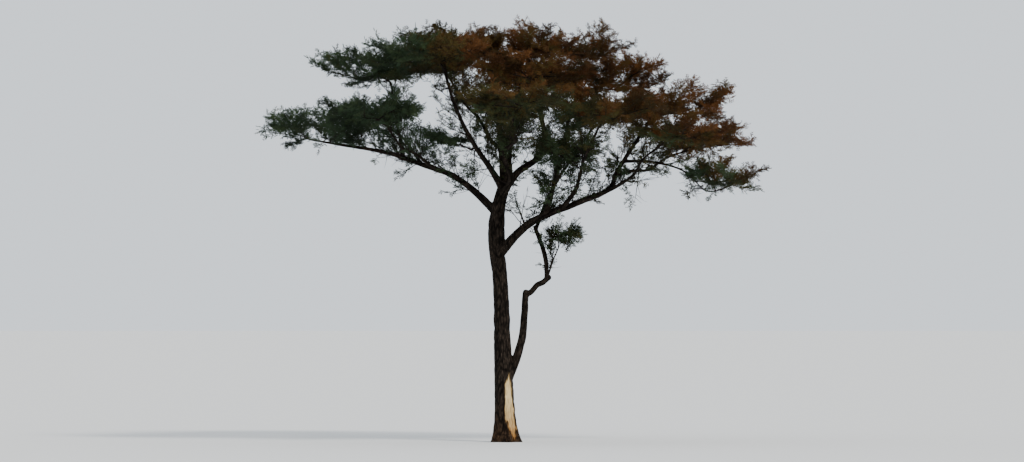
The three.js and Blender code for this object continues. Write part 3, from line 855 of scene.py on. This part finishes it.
def leaves_along(shape, rng, kinds, points, tints):
    """Adds leaves a short step apart along twigs, to both sides by turns, and one at each end."""
    lengths = np.linalg.norm(np.diff(points, axis=1), axis=2).sum(axis=1)
    counts = np.maximum(np.round(lengths / LEAF_SPACING).astype(int), 2)
    twig = np.repeat(np.arange(len(points)), counts)
    order = np.arange(len(twig)) - np.repeat(np.cumsum(counts) - counts, counts)
    share = (order + 1) / counts[twig]
    low, high, part = stretches_at(points, twig, share)
    onwards = unit(high - low)
    aside = unit(np.cross(onwards, UP)) * np.where(order % 2, 1, -1)[:, None]
    out = np.where(share == 1, LEAF_ASIDE_AT_END, LEAF_ASIDE)[:, None]
    ahead = unit(onwards * LEAF_AHEAD + aside * out + rng.normal(0, LEAF_STRAY, low.shape))
    add_leaves(shape, rng, kinds, low + (high - low) * part, ahead, tints[twig])


def values_of(sprays, *names):
    return [np.array([getattr(spray, name) for spray in sprays]) for name in names]


def main_twiglets(sprays, rng):
    """The middle twig of each spray, a little bowed."""
    root, along, up, length = values_of(sprays, "root", "along", "up", "length")
    share = np.linspace(0, 1, MAIN_STEPS + 1)
    bow = MAIN_BOW * rng.uniform(-1, 1, len(sprays))[:, None] * np.sin(math.pi * share)
    ahead = along[:, None] * share[:, None] * MAIN_SHARE + up[:, None] * bow[..., None]
    return root[:, None] + ahead * length[:, None, None]


def side_twiglets(sprays, mains, rng):
    """The twigs to both sides of each spray's middle one, as long as the spray's outline allows."""
    along, side, up, length = values_of(sprays, "along", "side", "up", "length")
    k = np.arange(SIDE_TWIGLETS) + rng.uniform(-SIDE_STRAY, SIDE_STRAY, (len(sprays), SIDE_TWIGLETS))
    share = np.clip(SIDE_FIRST + (SIDE_LAST - SIDE_FIRST) * k / (SIDE_TWIGLETS - 1), *SIDE_LIMITS)
    narrowing = np.minimum(share / SPRAY_WIDEST, (1 - share) / (1 - SPRAY_WIDEST))
    reach = np.maximum(narrowing * SPRAY_WIDTH * length[:, None] / 2 * SIDE_FULLNESS, SIDE_LEAST)
    spread = rng.uniform(*SIDE_SPREADS, share.shape)
    hand = np.where(np.arange(SIDE_TWIGLETS) % 2, 1, -1)
    lift = rng.uniform(*SIDE_LIFTS, share.shape)
    ahead = (
        along[:, None] * np.cos(spread)[..., None]
        + side[:, None] * (hand * np.sin(spread))[..., None]
        + up[:, None] * lift[..., None]
    )
    root = along_polylines(mains, share)
    return grown_twigs(root.reshape(-1, 3), unit(ahead).reshape(-1, 3), reach.ravel(), rng)


def along_polylines(points, share):
    """Places on polylines at shares of their steps. share is lines by places."""
    low, high, part = stretches_at(points, np.arange(len(points))[:, None], share)
    return low + (high - low) * part


def grown_twigs(root, ahead, length, rng):
    """Twigs from their roots, each a little crooked and turned up towards its end."""
    share = np.linspace(0, 1, TWIGLET_STEPS + 1)
    crook = rng.normal(0, TWIGLET_CROOK, (len(root), TWIGLET_STEPS + 1, 3)) * share[:, None]
    way = ahead[:, None] * share[:, None] + UP * (TWIGLET_TURN_UP * share**2)[:, None] + crook
    return root[:, None] + way * length[:, None, None]


def spread_out(count, first, rng):
    """Shares of a length from a first one to its end, one in each of some even steps."""
    return first + (1 - first) * (np.arange(count) + rng.uniform(0, 1, count)) / max(count, 1)


def strayed(ahead, way, rng):
    """Directions made of the carrier's, of stray and of rise."""
    onwards, stray, rise = way
    return unit(ahead * onwards + rng.normal(0, stray, ahead.shape) + UP * rise)


def shoots_on(curves, space, rng):
    """Short leafy shoots that rise from the arms to all sides, kept to the mass's space."""
    rows = []
    for curve in curves:
        share = spread_out(max(2, int(curve.length / SHOOT_SPACING)), SHOOT_FIRST, rng)
        rows.append((curve.at(share), strayed(curve.tangent_at(share), SHOOT_WAY, rng)))
    root, way = joined(rows)
    length = rng.uniform(*SHOOT_LENGTHS, len(root))
    kept = space.holds(root + way * length[:, None], slack=SHOOT_SLACK)
    return grown_twigs(root[kept], way[kept], length[kept], rng)


def dryness_and_light(points, rng):
    """How russet the leaves at each point are: green on the left and low down, russet on top and right. The
    russet stands for dry leaves and also for painted sunlight, and the greener, darker leaves low down are
    partly painted shade.
    """
    x, z = points[:, 0], points[:, 2]
    across = np.clip((x - DRY_FROM) / (DRY_TO - DRY_FROM), 0, 1)
    under = DRY_UNDERSIDE - DRY_SLOPE * np.maximum(x - DRY_SLOPE_FROM, 0) - z
    low = np.clip(under / DRY_FADE, 0, 1) * GREEN_BELOW
    return np.clip(across * DRIEST - low + rng.uniform(-DRY_STRAY, DRY_STRAY, len(points)), 0, 1)


def in_painted_shade(count, rng):
    """Which of some sprays or twigs have their leaves in the shaded copies of the tints: painted shade,
    dealt out at random.
    """
    return rng.uniform(0, 1, count) < PAINTED_SHADE_SHARE


def tint_of(dry, dark, rng):
    """A leaf tint for each twig: the lit tints come first, and their copies darkened with painted shade
    after them.
    """
    last = len(LEAF_TINTS) - 1
    hue = np.clip(np.round(dry * last + rng.uniform(-TINT_STRAY, TINT_STRAY, len(dry))), 0, last)
    return (hue + dark * len(LEAF_TINTS)).astype(int)


def curve_points(curves, count):
    return np.array([curve.at(np.linspace(0, 1, count)) for curve in curves])


def twig_tones(count, rng):
    return rng.integers(0, len(TWIG_TINTS), count)


def mass_shapes(mass, kinds):
    """The twigs and the leaves of one mass."""
    rng = np.random.default_rng((SEED, mass.group))
    twigs, leaves = Shape(), Shape()
    add_tapering(twigs, curve_points([mass.stem], STEM_POINTS), mass.bough.tip, STEM_END_RADIUS, THICK_SIDES)
    add_tapering(twigs, curve_points(mass.arms, ARM_POINTS), ARM_RADIUS, ARM_END_RADIUS, ARM_SIDES)
    mains = main_twiglets(mass.sprays, rng)
    dry, dark = dryness_and_light(mains[:, -1], rng), in_painted_shade(len(mains), rng)
    add_tapering(twigs, mains, MAIN_RADIUS, TWIGLET_END_RADIUS, MAIN_SIDES, twig_tones(len(mains), rng))
    sides = side_twiglets(mass.sprays, mains, rng)
    shoots = shoots_on([*mass.arms, mass.stem], mass.space, rng)
    fine = np.concatenate((sides, shoots))
    fine_dry = np.concatenate((np.repeat(dry, SIDE_TWIGLETS), dryness_and_light(shoots[:, -1], rng)))
    fine_dark = np.concatenate((np.repeat(dark, SIDE_TWIGLETS), in_painted_shade(len(shoots), rng)))
    add_tapering(twigs, fine, TWIGLET_RADIUS, TWIGLET_END_RADIUS, FINE_SIDES, twig_tones(len(fine), rng))
    leaves_along(leaves, rng, kinds, mains, tint_of(dry, dark, rng))
    leaves_along(leaves, rng, kinds, fine, tint_of(fine_dry, fine_dark, rng))
    return twigs, leaves


def ring_shares(length):
    """Shares of a limb's length at which it has rings."""
    return np.linspace(0, 1, math.ceil(length / SKIN_SAMPLE))


class Axes:
    """Samples of all limbs' axes, to tell which limb a point on the skin lies on and where."""

    def __init__(self, limbs):
        parts = [self.samples(limb) for limb in limbs]
        self.points, self.radii, self.tangents, self.firsts, self.runs = joined(parts)
        self.limb = np.repeat(np.arange(len(limbs)), [len(part[0]) for part in parts])

    @staticmethod
    def samples(limb):
        shares = ring_shares(limb.axis.length)
        points, tangents = limb.axis.at(shares), limb.axis.tangent_at(shares)
        return points, limb.radius_at(shares), tangents, carried_side(tangents), shares * limb.axis.length

    def nearest(self, points, chunk=4000):
        """The nearest sample to each point, counted from its surface."""
        found = []
        squares = (self.points**2).sum(axis=1)
        for i in range(0, len(points), chunk):
            part = points[i : i + chunk]
            gaps = (part**2).sum(axis=1)[:, None] - 2 * part @ self.points.T + squares
            found.append((np.sqrt(np.maximum(gaps, 0)) - self.radii).argmin(axis=1))
        return np.concatenate(found)


def carried_side(tangents):
    """A direction square to a curve at each sample, carried along it without twist."""
    side = unit(np.cross(tangents[0], Y if abs(tangents[0][1]) < SIDEWAYS else UP))
    sides = []
    for tangent in tangents:
        side = unit(side - tangent * (side @ tangent))
        sides.append(side)
    return np.array(sides)


def noise_at(points):
    return np.array([noise.noise(point) for point in points])


def limb_tube(limb, index):
    """Rings round a limb's axis with small bends of its own, none at its two ends."""
    shares = ring_shares(limb.axis.length)
    points, tangents, radii = limb.axis.at(shares), limb.axis.tangent_at(shares), limb.radius_at(shares)
    side = carried_side(tangents)
    size = WOBBLE_SHARE * radii * np.sqrt(np.sin(math.pi * shares))
    run = shares * limb.axis.length / WOBBLE_PITCH
    for direction, row in zip((side, np.cross(tangents, side)), NOISE_ROWS):
        stray = noise_at((place, index * NOISE_BETWEEN_LIMBS, row) for place in run)
        points = points + direction * (size * stray)[:, None]
    return ringed(*domed(points, tangents, side, radii))


def domed(points, tangents, side, radii):
    """Rings with some more past each end, which round it off: middles, two directions and radii."""
    past, narrow = np.sin(DOME_TURNS)[:, None], np.cos(DOME_TURNS)
    low = points[0] - tangents[0] * past[::-1] * radii[0]
    high = points[-1] + tangents[-1] * past * radii[-1]
    ring = np.pad(np.arange(len(points)), len(DOME_TURNS), mode="edge")
    shrink = np.concatenate((narrow[::-1], np.ones(len(points)), narrow))
    middles = np.concatenate((low, points, high))
    return middles, side[ring], np.cross(tangents, side)[ring], (radii[ring] * shrink)[:, None]


def trunk_tube(trunk):
    """The trunk as level rings with the flare's lobes, from below the ground up."""
    shares = ring_shares(TRUNK_HEIGHT)
    points = trunk.axis.at(shares)
    points = np.concatenate((points[:1] - UP * BELOW_GROUND, points))
    height = np.maximum(points[:, 2:], 0)
    radii = trunk_radius(height) * flare_lobes(height, turns_round(SKIN_SIDES))
    radii[1:] *= np.sqrt(np.clip((1 - shares) / TRUNK_ROUNDING, TRUNK_END, 1))[:, None]
    return ringed(points, X, Y, radii)


def ringed(points, first, second, radii):
    """The corners and triangles of a closed tube of rings."""
    count = len(points)
    rings = points[:, None] + all_round(first, second, SKIN_SIDES) * radii[..., None]
    corners = np.concatenate((rings.reshape(-1, 3), points[:1], points[-1:]))
    faces = ring_faces(count, SKIN_SIDES)
    low, high, top = count * SKIN_SIDES, count * SKIN_SIDES + 1, (count - 1) * SKIN_SIDES
    for k in range(SKIN_SIDES):
        n = (k + 1) % SKIN_SIDES
        faces += [(n, k, low), (top + k, top + n, high)]
    return corners, np.array(faces)


def placed(name, data):
    """A new object in the scene."""
    item = bpy.data.objects.new(name, data)
    bpy.context.scene.collection.objects.link(item)
    return item


def fused(mesh):
    """Overlapping tubes as one skin of even faces."""
    source = placed("tubes", mesh)
    remesh = source.modifiers.new("fuse", "REMESH")
    remesh.mode = "VOXEL"
    remesh.voxel_size = SKIN_STEP
    graph = bpy.context.evaluated_depsgraph_get()
    skin = bpy.data.meshes.new_from_object(source.evaluated_get(graph))
    bpy.data.objects.remove(source)
    return skin


def cut_at_ground(mesh):
    """Cuts the skin level with the ground and closes the cut."""
    shape = bmesh.new()
    shape.from_mesh(mesh)
    every = [*shape.verts, *shape.edges, *shape.faces]
    cut = bmesh.ops.bisect_plane(shape, geom=every, plane_co=(0, 0, 0), plane_no=(0, 0, 1), clear_inner=True)
    rim = [item for item in cut["geom_cut"] if isinstance(item, bmesh.types.BMEdge)]
    bmesh.ops.holes_fill(shape, edges=rim, sides=0)
    shape.to_mesh(mesh)
    shape.free()


def read(items, key, wide, kind):
    """A value of each item, as an array of some columns."""
    values = np.empty(len(items) * wide, kind)
    items.foreach_get(key, values)
    return values.reshape(-1, wide)


def smoothed(mesh, corners):
    """Corners moved half way to the middle of their neighbours, a few times over, above the ground."""
    ends = read(mesh.edges, "vertices", 2, np.int32)
    near, far = np.concatenate((ends, ends[:, ::-1])).T
    degree = np.bincount(near)[:, None]
    free = corners[:, 2:] > SKIN_STEP
    for _ in range(SKIN_SMOOTHING):
        total = np.stack([np.bincount(near, corners[far, k]) for k in range(3)], axis=1)
        corners = np.where(free, (corners + total / degree) / 2, corners)
    return corners


def scar_place(corners, centre):
    """How far each corner lies from the middle of the scar, where 1 is on its rim."""
    off = corners - centre
    turn = np.arctan2(off[:, 1], off[:, 0]) - SCAR_TURN
    up = (corners[:, 2] - SCAR_HEIGHT) / SCAR_HALF_HEIGHT
    sway = SCAR_SWAY * noise_at((SCAR_SWAY_PACE * share, 0, SCAR_SWAY_ROW) for share in up)
    across = turn * np.hypot(off[:, 0], off[:, 1]) / SCAR_HALF_WIDTH + sway
    ragged = noise_at(corners * SCAR_NOTCHES) + SCAR_FINE_SHARE * noise_at(corners * SCAR_FINE_NOTCHES)
    return np.hypot(across * (1 + SCAR_NARROWING * up), up) + SCAR_RAGGED * ragged


def relief(corners, axes):
    """Which limb each corner lies on, its outward direction, its relief, and how deep in a fissure it is."""
    sample = axes.nearest(corners)
    tangent, first = axes.tangents[sample], axes.firsts[sample]
    off = corners - axes.points[sample]
    ahead = (off * tangent).sum(axis=1)
    outward = off - tangent * ahead[:, None]
    radius = np.linalg.norm(outward, axis=1)
    outward = unit(outward)
    second = np.cross(tangent, first)
    turn = np.stack(((outward * first).sum(axis=1), (outward * second).sum(axis=1)), axis=1)
    run = axes.runs[sample] + ahead + axes.limb[sample] * FISSURE_BETWEEN_LIMBS
    size = np.maximum(radius, LEAST_RELIEF_RADIUS)
    place = np.column_stack((turn * size[:, None] / FISSURE_PITCH, run / FISSURE_PITCH / FISSURE_STRETCH))
    fissure = np.exp(-((noise_at(place) / FISSURE_SHARPNESS) ** 2))
    lump = noise_at(np.column_stack((turn * size[:, None], run)) / LUMP_PITCH)
    depth = np.minimum(FISSURE_DEPTH, FISSURE_OF_RADIUS * size)
    height = LUMP_OF_RADIUS * size * lump + depth * (RIDGE_SHARE - fissure)
    return axes.limb[sample], outward, height, fissure


def skin_mesh(limbs):
    """The fused bark with its relief, and for each corner its limb, fissure and scar."""
    shape = Shape()
    for index, limb in enumerate(limbs):
        corners, faces = trunk_tube(limb) if limb.name == "trunk" else limb_tube(limb, index)
        shape.add(corners, faces, 0)
    mesh = fused(shape.mesh("skin"))
    cut_at_ground(mesh)
    corners = smoothed(mesh, read(mesh.vertices, "co", 3, np.float32).astype(float))
    limb, outward, height, fissure = relief(corners, Axes(limbs))
    scar = scar_place(corners, limbs[0].axis.at(SCAR_HEIGHT / TRUNK_HEIGHT))
    scar = np.where(limb == 0, scar, OFF_SCAR)
    bare = np.clip((SCAR_END - scar) / SCAR_FADE, 0, 1)
    lip = np.exp(-(((scar - SCAR_LIP_PLACE) / SCAR_LIP_WIDTH) ** 2))
    height = height * (1 - bare) - SCAR_DEPTH * bare + SCAR_LIP * lip
    height = np.where(corners[:, 2] > CUT_BAND, height, 0)
    corners = corners + outward * height[:, None]
    corners[:, 2] = np.maximum(corners[:, 2], 0)
    mesh.vertices.foreach_set("co", corners.astype(np.float32).ravel())
    mesh.update()
    return mesh, limb, fissure, bare


def bare_twigs(limbs, rng):
    """Side twigs that stand off the limbs, and the finer ones that stand off those."""
    rows = []
    for limb in limbs:
        count = int(limb.axis.length * (1 - BARE_FIRST) / BARE_SPACING)
        share = spread_out(count, BARE_FIRST, rng)
        way = strayed(limb.axis.tangent_at(share), BARE_WAY, rng)
        rows.append((limb.axis.at(share), way, rng.uniform(*BARE_LENGTHS, count)))
    root, way, size = joined(rows)
    twigs = grown_twigs(root, way, size, rng)
    share = rng.uniform(*FORK_PLACES, (len(twigs), BARE_FORKS))
    fork_root = along_polylines(twigs, share).reshape(-1, 3)
    fork_way = strayed(np.repeat(way, BARE_FORKS, axis=0), FORK_WAY, rng)
    left = (size[:, None] * (1 - share)).ravel()
    fork_size = left * rng.uniform(*FORK_LENGTHS, len(left)) + FORK_LEAST
    return twigs, grown_twigs(fork_root, fork_way, fork_size, rng)


def principled(name, colour, roughness, specular):
    """A plain material, with the values on the shader's own sockets."""
    material = bpy.data.materials.new(name)
    material.use_nodes = True
    shader = material.node_tree.nodes["Principled BSDF"]
    shader.inputs["Base Color"].default_value = (*colour, 1)
    shader.inputs["Roughness"].default_value = roughness
    shader.inputs["Specular IOR Level"].default_value = specular
    return material


def leaf_materials():
    light = np.array(LEAF_TINTS)
    # The lit tints and, after them, their copies darkened with painted shade
    tints = np.concatenate((light, light * PAINTED_SHADE_TONE))
    return [principled(f"leaf_{i}", tint, *LEAF_SHEEN) for i, tint in enumerate(tints)]


def twig_materials():
    return [principled(f"twig_{i}", tint, *TWIG_SHEEN) for i, tint in enumerate(TWIG_TINTS)]


class Pattern:
    """The nodes of one patterned material, made from values and from one another's outputs."""

    def __init__(self, name):
        self.material = principled(name, BARK_COLOUR, *BARK_SHEEN)
        self.tree = self.material.node_tree
        self.place = self.made("TexCoord").outputs["Object"]

    def made(self, kind, **inputs):
        """A node, with a number or another node's output for each input that is named."""
        node = self.tree.nodes.new(f"ShaderNode{kind}")
        for name, value in inputs.items():
            if isinstance(value, bpy.types.NodeSocket):
                self.tree.links.new(value, node.inputs[name])
            else:
                node.inputs[name].default_value = value
        return node

    def stretched(self, scale):
        return self.made("Mapping", Vector=self.place, Scale=scale).outputs["Vector"]

    def noise(self, stretch, scale, detail):
        place = self.stretched(stretch)
        return self.made("TexNoise", Vector=place, Scale=scale, Detail=detail).outputs["Fac"]

    def plates(self):
        """How far each place lies from the edge of its plate, whose edges are warped."""
        place = self.stretched(PLATE_STRETCH)
        stray = self.made("TexNoise", Vector=place, Scale=PLATE_WARP_SCALE).outputs["Color"]
        place = self.mix("LINEAR_LIGHT", PLATE_WARP, place, stray)
        node = self.made("TexVoronoi", Vector=place, Scale=PLATE_SCALE)
        node.feature = "DISTANCE_TO_EDGE"
        return node.outputs["Distance"]

    def attribute(self, name):
        node = self.made("Attribute")
        node.attribute_name = name
        return node.outputs["Fac"]

    def ramp(self, factor, stops):
        node = self.made("ValToRGB", Fac=factor)
        elements = node.color_ramp.elements
        while len(elements) < len(stops):
            elements.new(0.5)
        for element, (place, colour) in zip(elements, stops):
            element.position, element.color = place, (*colour, 1)
        return node.outputs["Color"]

    def mix(self, blend, factor, first, second):
        """Two colours blended. The factor is a number or an output."""
        node = self.made("MixRGB", Fac=factor, Color1=first, Color2=second)
        node.blend_type = blend
        return node.outputs["Color"]

    def times(self, first, second):
        return self.mix("MULTIPLY", 1, first, second)

    def finish(self, colour, relief_height):
        bump = self.made("Bump", Strength=BUMP_STRENGTH, Distance=BUMP_DEPTH, Height=relief_height)
        shader = self.tree.nodes["Principled BSDF"]
        self.tree.links.new(bump.outputs["Normal"], shader.inputs["Normal"])
        self.tree.links.new(colour, shader.inputs["Base Color"])
        return self.material


def bark_material():
    """Dark grey-brown bark with paler ridges and near black fissures, the fissures and the cracks between
    plates darkened with painted shade, and the bare wood of the scar.
    """
    bark = Pattern("bark")
    grain = bark.noise(*GRAIN_NOISE)
    height = bark.made("SeparateXYZ", Vector=bark.place).outputs["Z"]
    plain, at_foot = bark.ramp(grain, BARK_GRAIN), bark.ramp(grain, FOOT_GRAIN)
    ridge = bark.mix("MIX", bark.ramp(height, FOOT_SHARE), plain, at_foot)
    toned = bark.times(ridge, bark.ramp(bark.noise(*PATCH_NOISE), BARK_PATCHES))
    # Painted shade in the fissures, darker the deeper the skin lies in one
    fissured = bark.times(toned, bark.ramp(bark.attribute("fissure"), FISSURE_SHADE))
    # Painted shade in the cracks between plates, which the bump also sinks
    plates = bark.ramp(bark.plates(), CRACK_SHADE)
    fibres = bark.ramp(bark.noise(*FIBRE_NOISE), BARE_WOOD)
    wood = bark.times(fibres, bark.ramp(height, SCAR_FOOT))
    bare = bark.attribute("bare")
    colour = bark.mix("MIX", bare, bark.times(fissured, plates), wood)
    grey = bark.ramp(grain, GREY)
    rough = bark.mix("MIX", bare, bark.times(grey, plates), grey)
    return bark.finish(bark.times(colour, bark.ramp(bare, SCAR_RIM)), rough)


def object_of(mesh, name, slot, nodes, materials):
    """A mesh as a piece of the tree that stands for some nodes."""
    for material in materials:
        mesh.materials.append(material)
    mesh.polygons.foreach_set("use_smooth", np.full(len(mesh.polygons), slot == "bark"))
    piece = placed(name, mesh)
    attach(piece, "root")
    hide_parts(*nodes)


def part_of_skin(mesh, chosen):
    """The part of the skin whose faces are chosen, by an array with an entry for each face."""
    shape = bmesh.new()
    shape.from_mesh(mesh)
    dropped = [face for face, keep in zip(shape.faces, chosen) if not keep]
    bmesh.ops.delete(shape, geom=dropped, context="FACES")
    part = bpy.data.meshes.new("part")
    shape.to_mesh(part)
    shape.free()
    return part


def add_bark(limbs):
    """The skin as two pieces: the trunk with the second stem, and the boughs."""
    mesh, limb, fissure, bare = skin_mesh(limbs)
    for name, values in (("fissure", fissure), ("bare", bare)):
        mesh.attributes.new(name, "FLOAT", "POINT").data.foreach_set("value", values.astype(np.float32))
    low = np.array([item.name.startswith(("trunk", "second")) for item in limbs])
    first = [face.vertices[0] for face in mesh.polygons]
    is_low = low[limb[first]]
    material = bark_material()
    for name, chosen, wanted in (("trunk_bark", is_low, True), ("bough_bark", ~is_low, False)):
        nodes = [item.name for item, at_foot in zip(limbs, low) if at_foot == wanted]
        object_of(part_of_skin(mesh, chosen), name, "bark", nodes, [material])


def add_side_twigs(limbs, thin, kinds):
    """The thin limbs, the side twigs of the others, and their leaves."""
    rng = np.random.default_rng((SEED, len(MASSES)))
    twigs, leaves = Shape(), Shape()
    for limb in thin:
        radii = limb.radius_at(np.linspace(0, 1, THIN_STEPS))
        add_twigs(twigs, curve_points([limb.axis], THIN_STEPS), radii, THICK_SIDES)
    sides, forks = bare_twigs([limb for limb in [*limbs, *thin] if limb.mass], rng)
    add_tapering(twigs, sides, BARE_RADIUS, TWIGLET_END_RADIUS, MAIN_SIDES)
    add_tapering(twigs, forks, FORK_RADIUS, TWIGLET_END_RADIUS, FINE_SIDES)
    leafy = forks[rng.uniform(0, 1, len(forks)) < LEAFY_FORKS]
    tints = tint_of(dryness_and_light(leafy[:, -1], rng), in_painted_shade(len(leafy), rng), rng)
    leaves_along(leaves, rng, kinds, leafy, tints)
    object_of(twigs.mesh("side_twigs"), "side_twigs", "bark", [limb.name for limb in thin], twig_materials())
    return leaves


def nodes_of(masses):
    return [f"{name}_foliage" for name in masses]


def add_foliage(masses, side_leaves, kinds):
    """The twigs of all masses as one piece, and their leaves as the pieces that LEAF_PIECES lists."""
    twigs, leaves = Shape(), {}
    for mass in masses:
        mass_twigs, leaves[mass.name] = mass_shapes(mass, kinds)
        twigs.add_shape(mass_twigs)
    object_of(twigs.mesh("twigs"), "twigs", "bark", nodes_of(MASSES), twig_materials())
    materials = leaf_materials()
    for name, slot, names in LEAF_PIECES:
        shape = Shape()
        for mass_name in names:
            shape.add_shape(leaves[mass_name])
        if name == SIDE_LEAVES_WITH:
            shape.add_shape(side_leaves)
        object_of(shape.mesh(name), name, slot, nodes_of(names), materials)


def add_tree():
    limbs = {"trunk": Trunk()}
    for index, (name, row) in enumerate(LIMBS.items()):
        limbs[name] = Limb(name, index, limbs[row[0]])
    grown = [limb for limb in limbs.values() if limb.name != "trunk"]
    limb_places = joined([places_along(limb.axis, limb.radius_at) for limb in grown])
    boughs = [limb for limb in grown if limb.mass]
    masses = [Mass(bough, group, limb_places) for group, bough in enumerate(boughs)]
    kinds = leaf_kinds(np.random.default_rng(SEED))
    thick = [limb for limb in limbs.values() if limb.tip >= LEAST_SKIN_RADIUS]
    thin = [limb for limb in limbs.values() if limb.tip < LEAST_SKIN_RADIUS]
    add_bark(thick)
    add_foliage(masses, add_side_twigs(thick, thin, kinds), kinds)


def add_floor():
    """A wide pale floor."""
    mesh = bpy.data.meshes.new("floor")
    shape = bmesh.new()
    bmesh.ops.create_circle(shape, cap_ends=True, segments=FLOOR_SIDES, radius=FLOOR_RADIUS)
    shape.to_mesh(mesh)
    shape.free()
    mesh.materials.append(principled("floor", FLOOR_COLOUR, *FLOOR_SHEEN))
    placed("floor", mesh)


def add_light():
    """An even pale sky and one soft sun."""
    world = bpy.data.worlds.new("sky")
    world.use_nodes = True
    sky = world.node_tree.nodes["Background"]
    sky.inputs["Color"].default_value = (*SKY_COLOUR, 1)
    sky.inputs["Strength"].default_value = SKY_STRENGTH
    bpy.context.scene.world = world
    lamp = bpy.data.lights.new("sun", "SUN")
    lamp.energy = SUN_STRENGTH
    lamp.angle = SUN_SOFTNESS
    lamp.color = SUN_COLOUR
    placed("sun", lamp).rotation_euler = SUN_TURN


def add_camera(low, high):
    """The camera at the photograph's viewing angle: far off, a little above a person's height."""
    data = bpy.data.cameras.new("camera")
    data.sensor_width = SENSOR
    wide = VIEW_SPAN * FRAME_WIDE / FRAME_HIGH
    data.lens = SENSOR * VIEW_DISTANCE / wide
    data.clip_end = 3 * FLOOR_RADIUS
    camera = placed("camera", data)
    middle = (low + high) / 2
    camera.location = (middle.x, middle.y - VIEW_DISTANCE, VIEW_HEIGHT)
    camera.rotation_mode = "QUATERNION"
    camera.rotation_quaternion = (middle - camera.location).to_track_quat("-Z", "Y")
    bpy.context.scene.camera = camera


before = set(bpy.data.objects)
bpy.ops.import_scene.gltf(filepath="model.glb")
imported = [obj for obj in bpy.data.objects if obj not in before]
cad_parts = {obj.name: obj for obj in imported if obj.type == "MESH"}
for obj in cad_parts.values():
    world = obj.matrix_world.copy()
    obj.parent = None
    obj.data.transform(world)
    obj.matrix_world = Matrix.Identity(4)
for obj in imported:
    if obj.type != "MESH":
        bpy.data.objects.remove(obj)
first_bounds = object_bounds()
add_tree()
add_floor()
add_light()
add_camera(*first_bounds)
